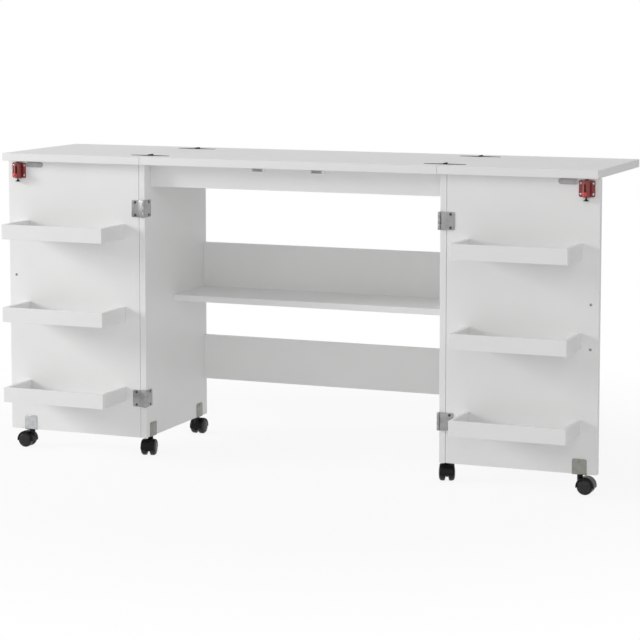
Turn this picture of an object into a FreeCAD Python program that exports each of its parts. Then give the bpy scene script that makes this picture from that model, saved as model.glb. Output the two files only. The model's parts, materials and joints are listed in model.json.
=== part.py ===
"""Folding sewing and cutting table, millimetres, +Z up, +X right, +Y to the back.

A narrow cabinet on casters carries a fixed centre top. A door swings out on each side, with three
trays and a caster of its own, and its top edge carries a leaf that folds up and over the centre top.
A spring-free bolt on each door slides up into its leaf and keeps the table open.

The model is drawn with y = 0 at the front edges of the side panels, and every node is written moved
by FRONT_Y, which puts the origin under the middle of the bounding box. Most pieces come in a left and
a right version: their distance from the middle plane is called a, and x is side * a.
"""

import FreeCAD
import Part
import math
import os

Vector = FreeCAD.Vector
X_AXIS = Vector(1, 0, 0)
Y_AXIS = Vector(0, 1, 0)
Z_AXIS = Vector(0, 0, 1)
SIDES = {"left": -1, "right": 1}

# Driving dimensions of the whole table
LENGTH = 1600.0
HEIGHT = 782.0
TOP_THICK = 20.0
TOP_FRONT = -30.5
TOP_BACK = 375.0
BOARD = 16.0
PANEL_DEPTH = 372.0
FLOOR_GAP = 49.0
TRAY_REACH = 130.0
EDGE_EASE = 0.8

# Heights and places that follow from them
FRONT_Y = (TRAY_REACH - TOP_BACK) / 2
SEAM_A = LENGTH / 4
SEAM_GAP = 0.8
TOP_Z = (HEIGHT - TOP_THICK, HEIGHT)
PANEL_TOP = TOP_Z[0] - 0.5
PANEL_A = (SEAM_A, SEAM_A + BOARD)
BACK_Y = (PANEL_DEPTH - BOARD, PANEL_DEPTH)

# Cabinet boards
RAIL_TALL = 60.0
RAIL_FRONT = 34.5
SHELF_FRONT = 165.0
SHELF_Z = (388.5, 388.5 + BOARD)
BACK_BOARD_TALL = 120.0
LOWER_BOARD_Z = 150.0

# Doors
DOOR_A = (SEAM_A + 17.0, LENGTH / 2 - 1.5)
DOOR_Z = (FLOOR_GAP, 760.0)

# Trays on the doors: x limits per side and the heights of their upper edges
TRAY_X = {"left": (-747.0, -458.0), "right": (467.0, 756.0)}
TRAY_TOPS = {"upper": 605.5, "middle": 390.5, "lower": 181.0}
TRAY_TALL = 38.0
TRAY_WALL = 9.0
TRAY_FLOOR = 5.0

# Door hinges, cranked so that the barrel stands in front of the side panel's inner corner
DOOR_PIN_Y = -7.25
DOOR_HINGE_Z = (152.5, 646.5)
DOOR_HINGE_TALL = 44.0
DOOR_KNUCKLE_R = 3.6
DOOR_PIN_R = 2.0
DOOR_NOTCH_R = 4.0
WING_THICK = 1.5
WING_OUTER_A = 437.0
WING_BEND_A = (DOOR_A[0] + 0.1, DOOR_A[0] + 0.3)
WING_CRANK_A = SEAM_A + 1.5
WING_CRANK_Y = -3.7
FIXED_WING_BACK = 33.0
FIXED_WING_FRONT = DOOR_PIN_Y + DOOR_NOTCH_R
WING_SCREW_PITCH = 33.0
WING_SCREW_INSET = 12.0
KNUCKLE_GAP = 0.3
TURNING_PLAY = 0.05

# Leaf hinges, tapered straps let in flush with the boards, with the pin above the seam
LEAF_HINGE_Y = (34.0, 317.0)
LEAF_PIN_RISE = 1.0
LEAF_KNUCKLE_R = 2.2
LEAF_PIN_R = 1.1
LEAF_NOTCH_R = 2.6
STRAP_LONG = 54.0
STRAP_ROOT = 30.0
STRAP_TIP = 15.0
STRAP_START = 1.0
STRAP_SHOULDER = 4.0
POCKET_PLAY = 0.3

# Sliding bolt locks
LOCK_A = 766.0
LOCK_AXIS_Y = -8.0
LOCK_Z = (716.0, 756.0)
LOCK_FLANGE = 40.0
LOCK_FLANGE_THICK = 2.0
LOCK_BARREL_R = 9.5
LOCK_SCREW_PITCH = (30.0, 26.0)
LOCK_SLOT_Z = (720.0, 748.0)
LOCK_SLOT_WIDE = 5.4
LOCK_THROAT_R = 7.2
LOCK_THROAT_TOP = 732.0
BOLT_R = 4.5
BOLT_Z = (720.0, 758.5)
BOLT_NECK_R = 2.0
BOLT_TIP_Z = (707.0, 712.0)
BOLT_TIP_R = 6.8
KNOB_R = 5.5
KNOB_Y = -21.5
KNOB_Z = 725.0
KNOB_TURNS = [math.radians(turn) for turn in (20, 50, 75, 105, 130, 160)]
BOLT_EASE = 1.0
BOLT_SOCKET_R = 5.5
BOLT_SOCKET_DEEP = 14.0

# Magnetic catches and the strike plates they hold
CATCH_A = 80.0
CATCH_SIZE = (36.0, 14.0, 12.0)
CATCH_FRONT = -12.8
POLE_THICK = 2.0
POLE_INSET = 3.0
POLE_RISE = 2.5
STRIKE_Z = 752.0
STRIKE_LONG = 49.0
STRIKE_WIDE = 14.0
STRIKE_THICK = 1.2
STRIKE_SCREW_PITCH = 32.0
STRIKE_SCREW_HEAD = (2.8, 0.2)

# Bow handles on the outer faces of the doors
HANDLE_A = 778.5
HANDLE_Z = (351.7, 459.5)
HANDLE_WIDE = 12.0
HANDLE_FOOT = 12.0
HANDLE_STRAP = 5.0
HANDLE_REACH = 28.0
HANDLE_BEND = 15.0

# Caster brackets, saddles over the lower edge of a board
SADDLE_WIDE = 36.0
SADDLE_TOP = 86.0
SADDLE_STEEL = 1.5
SADDLE_CORNER_R = 5.0
SLEEVE_R = 5.5
SLEEVE_TOP = 76.0
SADDLE_SCREW_Z = 81.5

# Twin-wheel casters; a section runs outward from the middle plane, as distances from it and radii
STEM_R = 4.0
STEM_Z = (38.0, 75.0)
WHEEL_R = 20.0
WHEEL_SECTION = [(3.0, 12.0), (5.5, WHEEL_R), (15.0, WHEEL_R), (18.3, 17.0), (20.5, 11.0)]
WHEEL_ROOM = [(15.0, 21.0), (19.2, 17.7)]
TRAIL = 15.0
AXLE_R = 2.5
AXLE_REACH = 19.0
AXLE_PLAY = 0.3
HOOD_SECTION = [(14.5, 23.0), (18.6, 20.0)]
HOOD_SPAN = (-9.0, 189.0)
WEB_SECTION = [(2.5, 22.0)]
WEB_HUB_R = 11.0
BOSS_R = 7.0
BOSS_Z = (28.0, 47.2)

# Place of each caster's stem and the direction in which its wheels trail, in degrees
PANEL_MID_A = SEAM_A + BOARD / 2
CASTERS = {
    "left_door": (-741.0, BOARD / 2, 180.0),
    "right_door": (755.0, BOARD / 2, 0.0),
    "front_left": (-PANEL_MID_A, 39.5, -78.0),
    "front_right": (PANEL_MID_A, 39.5, -71.5),
    "rear_left": (-PANEL_MID_A, 322.0, 90.0),
    "rear_right": (PANEL_MID_A, 322.0, 100.0),
}

# Round pieces are drawn with flats, so that the whole table stays light
ROUND_SIDES = 8
LOCK_SIDES = 12
WHEEL_SIDES = 20
SCREW_SIDES = 6
CORNER_STEPS = 3

# Screws
SCREW_HEAD_R = 3.6
SCREW_HEAD_TALL = 1.0
SCREW_SHANK_R = 1.8
SCREW_LONG = 11.0
HANDLE_SCREW_LONG = BOARD + 8.0


def block(x, y, z):
    """A plain block between pairs of limits."""
    low = Vector(min(x), min(y), min(z))
    long, deep, tall = (max(pair) - min(pair) for pair in (x, y, z))
    return Part.makeBox(long, deep, tall, low)


def board(x, y, z):
    """A board with its edges eased."""
    plain = block(x, y, z)
    return plain.makeChamfer(EDGE_EASE, plain.Edges)


def about(middle, width):
    """The pair of limits that lies evenly about a middle."""
    return (middle - width / 2, middle + width / 2)


def side_pair(side, limits):
    """Limits in a, turned into limits in x."""
    return (side * limits[0], side * limits[1])


def flat(points):
    """The flat face inside a closed outline."""
    return Part.Face(Part.makePolygon(points + points[:1]))


def prism(points, along):
    """The solid that a closed outline makes when it is moved along a vector."""
    return flat(points).extrude(along)


def ring(centre, direction, radius, sides):
    """The corners of a regular outline round an axis that lies along X, Y or Z."""
    across = Vector(direction.y, direction.z, direction.x)
    upright = direction.cross(across)
    corners = []
    for step in range(sides):
        angle = 2 * math.pi * (step + 0.5) / sides
        offset = across * math.cos(angle) + upright * math.sin(angle)
        corners.append(centre + offset * radius)
    return corners


def turned(start, direction, profile, sides):
    """A turned piece drawn with flats; its profile lists distances along the axis and radii."""
    rings = [ring(start + direction * far, direction, radius, sides) for far, radius in profile]
    faces = [flat(rings[0]), flat(rings[-1])]
    for near, far in zip(rings, rings[1:]):
        for step in range(sides):
            after = (step + 1) % sides
            faces.append(flat([near[step], near[after], far[after], far[step]]))
    return Part.makeSolid(Part.makeShell(faces))


def rod(radius, start, end, sides=ROUND_SIDES):
    """A round bar from one point to another, along X, Y or Z."""
    along = end.sub(start)
    direction = Vector(along).normalize()
    return prism(ring(start, direction, radius, sides), along)


def bore_for(radius, sides=ROUND_SIDES):
    """The radius of a bore with flats in which a bar of this radius can turn."""
    return (radius + TURNING_PLAY) / math.cos(math.pi / sides)


def arc(middle, radius, from_angle, to_angle, steps):
    """Points on an arc in a plane, as pairs."""
    points = []
    for step in range(steps + 1):
        angle = math.radians(from_angle + (to_angle - from_angle) * step / steps)
        points.append((middle[0] + radius * math.cos(angle), middle[1] + radius * math.sin(angle)))
    return points


def joined(shapes):
    """Several solids made into one, with faces in one plane merged where that stays valid."""
    whole = shapes[0].multiFuse(shapes[1:])
    merged = whole.removeSplitter()
    return merged if merged.isValid() else whole


def screw(seat, inward, length=SCREW_LONG, head=(SCREW_HEAD_R, SCREW_HEAD_TALL)):
    """A screw whose head lies on the seat and whose shank goes inward."""
    head = rod(head[0], seat - inward * head[1], seat, SCREW_SIDES)
    shank = rod(SCREW_SHANK_R, seat, seat + inward * length, SCREW_SIDES)
    return head.fuse(shank)


def pierced(piece, screws):
    """A piece with a hole for the shank of each screw that it is under."""
    for each in screws:
        piece = piece.cut(each)
    return piece


def write(name, shapes):
    """Write the solids of one node to its STEP file, in the table's own frame."""
    solids = [solid for shape in shapes for solid in shape.Solids]
    for solid in solids:
        if not solid.isValid() or solid.Volume <= 0:
            raise ValueError("bad solid in " + name)
    node = Part.makeCompound(solids) if len(solids) > 1 else solids[0]
    node.translate(Vector(0, FRONT_Y, 0))
    node.exportStep("parts/" + name + ".step")


# ---- Cabinet ----

def closed_lock_place(side):
    """Where the axis of a door's bolt stands once the door is shut."""
    return Vector(side * (2 * SEAM_A - LOCK_A), 2 * DOOR_PIN_Y - LOCK_AXIS_Y, TOP_Z[0])


def bolt_socket(place):
    """The blind hole in a top board that a bolt slides into."""
    return rod(BOLT_SOCKET_R, place, place + Z_AXIS * BOLT_SOCKET_DEEP)


def centre_top():
    """The fixed board between the leaves, with pockets for the straps and sockets for the bolts."""
    half = SEAM_A - SEAM_GAP / 2
    top = board((-half, half), (TOP_FRONT, TOP_BACK), TOP_Z)
    for side in SIDES.values():
        top = top.cut(bolt_socket(closed_lock_place(side)))
        for middle in LEAF_HINGE_Y:
            top = top.cut(strap_pocket(side, -1, middle))
    return top


def side_panel(side):
    """A side panel, drilled from below for the sleeves of its two casters."""
    panel = board(side_pair(side, PANEL_A), (0, PANEL_DEPTH), (FLOOR_GAP, PANEL_TOP))
    for x, y, _ in CASTERS.values():
        if abs(x) == PANEL_MID_A and x * side > 0:
            panel = panel.cut(sleeve_hole(x, y))
    return panel


def cross_board(y, z):
    """A board that runs between the inner faces of the side panels."""
    return board((-SEAM_A, SEAM_A), y, z)


def magnetic_catches():
    """A casing under the top's front edge on each side, with two pole plates facing the door."""
    long, deep, tall = CATCH_SIZE
    z = (TOP_Z[0] - tall, TOP_Z[0])
    shapes = []
    for side in SIDES.values():
        x = about(side * CATCH_A, long)
        casing = block(x, (CATCH_FRONT + POLE_THICK, CATCH_FRONT + deep), z)
        shapes.append(casing)
        for rise in (POLE_RISE, tall - POLE_RISE - POLE_THICK):
            pole = (z[0] + rise, z[0] + rise + POLE_THICK)
            reach = (CATCH_FRONT, CATCH_FRONT + POLE_THICK)
            shapes.append(block((x[0] + POLE_INSET, x[1] - POLE_INSET), reach, pole))
    return shapes


# ---- Door hinges ----

def door_knuckle_z(height):
    """The three stretches of a door hinge's barrel, from the lowest up."""
    share = (DOOR_HINGE_TALL - 2 * KNUCKLE_GAP) / 3
    low = height - DOOR_HINGE_TALL / 2
    starts = [low + step * (share + KNUCKLE_GAP) for step in range(3)]
    return [(start, start + share) for start in starts]


def door_axis(side, z):
    """The point of a door's turning axis at a height."""
    return Vector(side * SEAM_A, DOOR_PIN_Y, z)


def door_round(side, radius, z):
    """A round bar on a door's turning axis."""
    return rod(radius, door_axis(side, z[0]), door_axis(side, z[1]))


def door_fixed_wing(side, height):
    """The wing on the side panel's inner face, with the middle knuckle."""
    lowest, middle, highest = door_knuckle_z(height)
    x = side_pair(side, (SEAM_A - WING_THICK, SEAM_A))
    plate = block(x, (FIXED_WING_FRONT, FIXED_WING_BACK), about(height, DOOR_HINGE_TALL))
    tongue = block(x, (DOOR_PIN_Y + BOLT_NECK_R, FIXED_WING_FRONT), middle)
    wing = joined([plate, tongue, door_round(side, DOOR_KNUCKLE_R, middle)])
    wing = wing.cut(door_round(side, DOOR_PIN_R, middle))
    return pierced(wing, fixed_wing_screws(side, height))


def fixed_wing_screws(side, height):
    """The two screws through a wing into the side panel."""
    x = side * (SEAM_A - WING_THICK)
    y = FIXED_WING_BACK - WING_SCREW_INSET
    return [screw(Vector(x, y, z), X_AXIS * side) for z in about(height, WING_SCREW_PITCH)]


def door_moving_wing(side, height):
    """The wing on the door's face, cranked forward to the two outer knuckles."""
    lowest, middle, highest = door_knuckle_z(height)
    low = height - DOOR_HINGE_TALL / 2
    profile = [
        (WING_OUTER_A, 0),
        (WING_BEND_A[1], 0),
        (WING_CRANK_A, WING_CRANK_Y),
        (WING_CRANK_A, WING_CRANK_Y - WING_THICK),
        (WING_BEND_A[0], -WING_THICK),
        (WING_OUTER_A, -WING_THICK),
    ]
    points = [Vector(side * a, y, low) for a, y in profile]
    plate = prism(points, Z_AXIS * DOOR_HINGE_TALL)
    notch = (middle[0] - KNUCKLE_GAP, middle[1] + KNUCKLE_GAP)
    plate = plate.cut(door_round(side, DOOR_NOTCH_R, notch))
    ends = [door_round(side, DOOR_KNUCKLE_R, stretch) for stretch in (lowest, highest)]
    wing = joined([plate] + ends)
    whole = about(height, DOOR_HINGE_TALL)
    wing = wing.cut(door_round(side, bore_for(DOOR_PIN_R), whole))
    return pierced(wing, moving_wing_screws(side, height))


def moving_wing_screws(side, height):
    """The two screws through a wing into the door."""
    x = side * (DOOR_A[0] + WING_OUTER_A) / 2
    return [screw(Vector(x, -WING_THICK, z), Y_AXIS) for z in about(height, WING_SCREW_PITCH)]


# ---- Leaf hinges ----

def leaf_axis(side, y):
    """The point of a leaf's turning axis at a depth."""
    return Vector(side * SEAM_A, y, HEIGHT + LEAF_PIN_RISE)


def leaf_round(side, radius, y):
    """A round bar on a leaf's turning axis."""
    return rod(radius, leaf_axis(side, y[0]), leaf_axis(side, y[1]))


def leaf_knuckle_y(middle):
    """The three stretches of a leaf hinge's barrel, from the front back."""
    share = (STRAP_ROOT - 2 * KNUCKLE_GAP) / 3
    start = middle - STRAP_ROOT / 2
    starts = [start + step * (share + KNUCKLE_GAP) for step in range(3)]
    return [(front, front + share) for front in starts]


def strap_shape(side, outward, middle, start, play):
    """A tapered plate under the top's face, from start beside the seam along outward, +1 or -1 in a."""
    halves = [
        (start, STRAP_ROOT / 2 + play),
        (STRAP_SHOULDER, STRAP_ROOT / 2 + play),
        (STRAP_LONG + play, STRAP_TIP / 2 + play),
    ]
    outline = [(far, -half) for far, half in halves] + [(far, half) for far, half in halves[::-1]]
    low = HEIGHT - WING_THICK
    points = [Vector(side * (SEAM_A + outward * far), middle + y, low) for far, y in outline]
    return prism(points, Z_AXIS * WING_THICK)


def strap(side, outward, middle):
    """A strap, flush with the top."""
    return strap_shape(side, outward, middle, STRAP_START, 0.0)


def strap_pocket(side, outward, middle):
    """The pocket that a strap is let in to, open at the seam."""
    return strap_shape(side, outward, middle, 0.0, POCKET_PLAY)


def leaf_fixed_strap(side, middle):
    """The strap on the centre top, with the two outer knuckles."""
    front, centre, back = leaf_knuckle_y(middle)
    notch = (centre[0] - KNUCKLE_GAP, centre[1] + KNUCKLE_GAP)
    plate = strap(side, -1, middle).cut(leaf_round(side, LEAF_NOTCH_R, notch))
    ends = [leaf_round(side, LEAF_KNUCKLE_R, stretch) for stretch in (front, back)]
    whole = about(middle, STRAP_ROOT)
    return joined([plate] + ends).cut(leaf_round(side, LEAF_PIN_R, whole))


def leaf_moving_strap(side, middle):
    """The strap on the leaf, with the middle knuckle."""
    front, centre, back = leaf_knuckle_y(middle)
    plate = strap(side, 1, middle)
    for stretch in (front, back):
        notch = (stretch[0] - KNUCKLE_GAP, stretch[1] + KNUCKLE_GAP)
        plate = plate.cut(leaf_round(side, LEAF_NOTCH_R, notch))
    wing = joined([plate, leaf_round(side, LEAF_KNUCKLE_R, centre)])
    return wing.cut(leaf_round(side, bore_for(LEAF_PIN_R), centre))


def hinge_pins():
    """The pins of all eight hinges, held by the knuckles on the cabinet."""
    pins = []
    for side in SIDES.values():
        for height in DOOR_HINGE_Z:
            pins.append(door_round(side, DOOR_PIN_R, about(height, DOOR_HINGE_TALL)))
        for middle in LEAF_HINGE_Y:
            pins.append(leaf_round(side, LEAF_PIN_R, about(middle, STRAP_ROOT)))
    return pins


# ---- Casters and their brackets ----

def placed(shape, x, y, heading):
    """A shape drawn round the Z axis, turned to a heading and moved to its place."""
    shape = shape.copy()
    shape.rotate(Vector(), Z_AXIS, heading)
    shape.translate(Vector(x, y, 0))
    return shape


def board_angle(x):
    """The direction along the board that carries a caster."""
    return 90 if abs(x) == PANEL_MID_A else 0


def sleeve_hole(x, y):
    """The hole from a board's lower edge that takes a caster's sleeve."""
    hole = rod(SLEEVE_R, Z_AXIS * FLOOR_GAP, Z_AXIS * SLEEVE_TOP)
    return placed(hole, x, y, board_angle(x))


def saddle(x, y):
    """A bent steel saddle over a board's lower edge, with the sleeve for the caster's stem."""
    half = SADDLE_WIDE / 2
    low = FLOOR_GAP - SADDLE_STEEL
    shoulder = SADDLE_TOP - SADDLE_CORNER_R
    reach = half - SADDLE_CORNER_R
    outline = [(-half, low), (half, low)]
    outline += arc((reach, shoulder), SADDLE_CORNER_R, 0, 90, CORNER_STEPS)
    outline += arc((-reach, shoulder), SADDLE_CORNER_R, 90, 180, CORNER_STEPS)
    outer_half = BOARD / 2 + SADDLE_STEEL
    bend = prism([Vector(u, -outer_half, z) for u, z in outline], Y_AXIS * 2 * outer_half)
    inside = block((-half, half), about(0, BOARD), (FLOOR_GAP, SADDLE_TOP))
    sleeve = rod(SLEEVE_R, Z_AXIS * low, Z_AXIS * SLEEVE_TOP)
    bore = rod(bore_for(STEM_R), Z_AXIS * low, Z_AXIS * SLEEVE_TOP)
    whole = joined([bend.cut(inside), sleeve]).cut(bore)
    return pierced(placed(whole, x, y, board_angle(x)), saddle_screws(x, y))


def saddle_screws(x, y):
    """One screw through each cheek of a saddle, above the sleeve."""
    screws = []
    for face in (-1, 1):
        seat = Vector(0, face * (BOARD / 2 + SADDLE_STEEL), SADDLE_SCREW_Z)
        shank = screw(seat, Y_AXIS * -face, BOARD / 2)
        screws.append(placed(shank, x, y, board_angle(x)))
    return screws


def wheel_axis(y):
    """A point on the wheels' axle, for a caster whose wheels trail along +X."""
    return Vector(TRAIL, y, WHEEL_R)


def about_axle(section, hand=1):
    """A solid turned about the axle, with flats that stand off it by the radii of its section."""
    stretch = 1 / math.cos(math.pi / WHEEL_SIDES)
    profile = [(far, radius * stretch) for far, radius in section]
    return turned(wheel_axis(0), Y_AXIS * hand, profile, WHEEL_SIDES)


def both_sides(section):
    """A section with its mirror image on the other side of the middle plane."""
    return [(-far, radius) for far, radius in section[::-1]] + section


def hood_span():
    """A wedge about the axle, from the trailing side over the top to the leading side."""
    middle = (TRAIL, WHEEL_R)
    steps = round((HOOD_SPAN[1] - HOOD_SPAN[0]) * WHEEL_SIDES / 360)
    outline = [middle] + arc(middle, 2 * WHEEL_R, HOOD_SPAN[0], HOOD_SPAN[1], steps)
    return prism([Vector(u, -WHEEL_R, z) for u, z in outline], Y_AXIS * 2 * WHEEL_R)


def caster_frame(x, y, heading):
    """The domed hood with its web, hub and boss, the stem and the axle."""
    room = about_axle(both_sides(WHEEL_ROOM))
    shell = about_axle(both_sides(HOOD_SECTION)).cut(room).common(hood_span())
    web = about_axle(both_sides(WEB_SECTION)).common(hood_span())
    half = WEB_SECTION[0][0]
    hub = rod(WEB_HUB_R, wheel_axis(-half), wheel_axis(half))
    boss = rod(BOSS_R, Z_AXIS * BOSS_Z[0], Z_AXIS * BOSS_Z[1])
    stem = rod(STEM_R, Z_AXIS * STEM_Z[0], Z_AXIS * STEM_Z[1])
    axle = rod(AXLE_R, wheel_axis(-AXLE_REACH), wheel_axis(AXLE_REACH))
    hood = joined([shell, web, hub, boss.cut(room)]).cut(stem).cut(axle)
    return [placed(shape, x, y, heading) for shape in (hood, stem, axle)]


def wheel(x, y, heading, hand):
    """One wheel of the pair, domed outside, on the side of the web that hand gives."""
    disc = about_axle(WHEEL_SECTION, hand)
    bore = rod(bore_for(AXLE_R), wheel_axis(0), wheel_axis(hand * (AXLE_REACH + AXLE_PLAY)))
    return placed(disc.cut(bore), x, y, heading)


# ---- Doors ----

def door_panel(name, side):
    """A door, drilled from below for its caster's sleeve."""
    panel = board(side_pair(side, DOOR_A), (0, BOARD), DOOR_Z)
    x, y, _ = CASTERS[name + "_door"]
    return panel.cut(sleeve_hole(x, y))


def tray(x, top):
    """An open tray of four boards: floor, front and two ends, shut at the back by the door."""
    z = (top - TRAY_TALL, top)
    ends_y = (-TRAY_REACH + TRAY_WALL, 0)
    inner_x = (x[0] + TRAY_WALL, x[1] - TRAY_WALL)
    front = board(x, (-TRAY_REACH, ends_y[0]), z)
    left_end = board((x[0], inner_x[0]), ends_y, z)
    right_end = board((inner_x[1], x[1]), ends_y, z)
    floor = block(inner_x, ends_y, (z[0], z[0] + TRAY_FLOOR))
    return [front, left_end, right_end, floor]


def lock_housing(side):
    """A flange with a barrel for the bolt, slotted in front for the knob's neck."""
    x = side * LOCK_A
    flange = block(about(x, LOCK_FLANGE), (-LOCK_FLANGE_THICK, 0), LOCK_Z)
    outline = [(x - LOCK_BARREL_R, 0)]
    outline += arc((x, LOCK_AXIS_Y), LOCK_BARREL_R, 180, 360, LOCK_SIDES // 2)
    outline += [(x + LOCK_BARREL_R, 0)]
    low, high = LOCK_Z
    barrel = prism([Vector(u, v, low) for u, v in outline], Z_AXIS * (high - low))
    body = joined([flange, barrel])
    body = body.cut(lock_round(side, BOLT_R + TURNING_PLAY, LOCK_Z))
    body = body.cut(lock_round(side, LOCK_THROAT_R, (LOCK_Z[0], LOCK_THROAT_TOP)))
    slot_y = (LOCK_AXIS_Y - LOCK_BARREL_R, LOCK_AXIS_Y)
    body = body.cut(block(about(x, LOCK_SLOT_WIDE), slot_y, LOCK_SLOT_Z))
    return pierced(body, lock_screws(side))


def lock_screws(side):
    """The four screws in the corners of a lock's flange."""
    screws = []
    for x in about(side * LOCK_A, LOCK_SCREW_PITCH[0]):
        for z in about(sum(LOCK_Z) / 2, LOCK_SCREW_PITCH[1]):
            screws.append(screw(Vector(x, -LOCK_FLANGE_THICK, z), Y_AXIS))
    return screws


def lock_round(side, radius, z):
    """A round bar on the axis of a lock's bolt."""
    x = side * LOCK_A
    ends = [Vector(x, LOCK_AXIS_Y, height) for height in z]
    return rod(radius, ends[0], ends[1], LOCK_SIDES)


def lock_bolt(side):
    """The bolt with its neck, the flared tip under it and the ball knob in front."""
    x = side * LOCK_A
    low = Vector(x, LOCK_AXIS_Y, BOLT_TIP_Z[0])
    foot = BOLT_Z[0] - BOLT_TIP_Z[0]
    head = BOLT_Z[1] - BOLT_TIP_Z[0]
    flare = BOLT_TIP_Z[1] - BOLT_TIP_Z[0]
    shaft_profile = [(foot, BOLT_R), (head - BOLT_EASE, BOLT_R), (head, BOLT_R - BOLT_EASE)]
    shaft = turned(low, Z_AXIS, shaft_profile, LOCK_SIDES)
    neck = lock_round(side, BOLT_NECK_R, (BOLT_TIP_Z[1], BOLT_Z[0]))
    tip = turned(low, Z_AXIS, [(0, BOLT_TIP_R), (flare, BOLT_TIP_R / 2)], LOCK_SIDES)
    knob_at = Vector(x, KNOB_Y, KNOB_Z)
    arm = rod(BOLT_NECK_R, Vector(x, LOCK_AXIS_Y, KNOB_Z), knob_at)
    ball = [(-KNOB_R * math.cos(turn), KNOB_R * math.sin(turn)) for turn in KNOB_TURNS]
    knob = turned(knob_at, Y_AXIS, ball, ROUND_SIDES).cut(arm)
    return [joined([shaft, neck, arm]), tip, knob]


def strike_plate(side):
    """A plate with round ends for the catch to hold."""
    middle = side * (2 * SEAM_A - CATCH_A)
    end = STRIKE_WIDE / 2
    reach = STRIKE_LONG / 2 - end
    outline = arc((middle + reach, STRIKE_Z), end, -90, 90, 2 * CORNER_STEPS)
    outline += arc((middle - reach, STRIKE_Z), end, 90, 270, 2 * CORNER_STEPS)
    plate = prism([Vector(u, -STRIKE_THICK, z) for u, z in outline], Y_AXIS * STRIKE_THICK)
    return pierced(plate, strike_screws(side))


def strike_screws(side):
    """The two screws of a strike plate."""
    places = about(side * (2 * SEAM_A - CATCH_A), STRIKE_SCREW_PITCH)
    seats = [Vector(x, -STRIKE_THICK, STRIKE_Z) for x in places]
    return [screw(seat, Y_AXIS, head=STRIKE_SCREW_HEAD) for seat in seats]


def bow_outline(crown, low, high, bend):
    """The outline of a bow from the door's outer face to its crown and back, as (y, z) pairs."""
    outline = [(BOARD, low)]
    outline += arc((crown - bend, low + bend), bend, -90, 0, CORNER_STEPS)
    outline += arc((crown - bend, high - bend), bend, 0, 90, CORNER_STEPS)
    return outline + [(BOARD, high)]


def handle(side):
    """A strap bent into a bow, on two feet that stand on the door's outer face."""
    foot = HANDLE_FOOT / 2
    crown = BOARD + HANDLE_REACH
    outer = bow_outline(crown, HANDLE_Z[0] - foot, HANDLE_Z[1] + foot, HANDLE_BEND)
    bend = HANDLE_BEND - HANDLE_STRAP
    inner = bow_outline(crown - HANDLE_STRAP, HANDLE_Z[0] + foot, HANDLE_Z[1] - foot, bend)
    x = side * HANDLE_A - HANDLE_WIDE / 2
    points = [Vector(x, y, z) for y, z in outer + inner[::-1]]
    return pierced(prism(points, X_AXIS * HANDLE_WIDE), handle_screws(side))


def handle_screws(side):
    """The two screws that go through the door into the handle's feet."""
    seats = [Vector(side * HANDLE_A, 0, z) for z in HANDLE_Z]
    return [screw(seat, Y_AXIS, HANDLE_SCREW_LONG) for seat in seats]


def door_screws(name, side):
    """The screws of a door's hinges, lock, strike plate, handle and caster bracket."""
    x, y, _ = CASTERS[name + "_door"]
    screws = lock_screws(side) + strike_screws(side) + handle_screws(side) + saddle_screws(x, y)
    for height in DOOR_HINGE_Z:
        screws += moving_wing_screws(side, height)
    return screws


def write_door(name, side):
    """All nodes of one door."""
    prefix = name + "_door_"
    x, y, _ = CASTERS[name + "_door"]
    write(prefix + "panel", [door_panel(name, side)])
    for level, top in TRAY_TOPS.items():
        write(prefix + level + "_tray", tray(TRAY_X[name], top))
    write(prefix + "hinge_wings", [door_moving_wing(side, z) for z in DOOR_HINGE_Z])
    write(prefix + "lock_housing", [lock_housing(side)])
    write(prefix + "strike_plate", [strike_plate(side)])
    write(prefix + "handle", [handle(side)])
    write(prefix + "caster_bracket", [saddle(x, y)])
    write(prefix + "screws", door_screws(name, side))
    write(name + "_lock_bolt", lock_bolt(side))


def write_leaf(name, side):
    """A leaf with the socket for its bolt and the pockets for its two straps."""
    x = side_pair(side, (SEAM_A + SEAM_GAP / 2, LENGTH / 2))
    leaf = board(x, (TOP_FRONT, TOP_BACK), TOP_Z)
    leaf = leaf.cut(bolt_socket(Vector(side * LOCK_A, LOCK_AXIS_Y, TOP_Z[0])))
    for middle in LEAF_HINGE_Y:
        leaf = leaf.cut(strap_pocket(side, 1, middle))
    write(name + "_leaf", [leaf])
    write(name + "_leaf_hinge_straps", [leaf_moving_strap(side, y) for y in LEAF_HINGE_Y])


def write_casters():
    """Frame and two wheels of each caster."""
    for name, (x, y, heading) in CASTERS.items():
        write(name + "_caster_frame", caster_frame(x, y, heading))
        write(name + "_caster_wheel_a", [wheel(x, y, heading, -1)])
        write(name + "_caster_wheel_b", [wheel(x, y, heading, 1)])


def cabinet_screws():
    """The screws of the cabinet's hinge wings and caster brackets."""
    screws = []
    for side in SIDES.values():
        for height in DOOR_HINGE_Z:
            screws += fixed_wing_screws(side, height)
    for x, y, _ in CASTERS.values():
        if abs(x) == PANEL_MID_A:
            screws += saddle_screws(x, y)
    return screws


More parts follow.
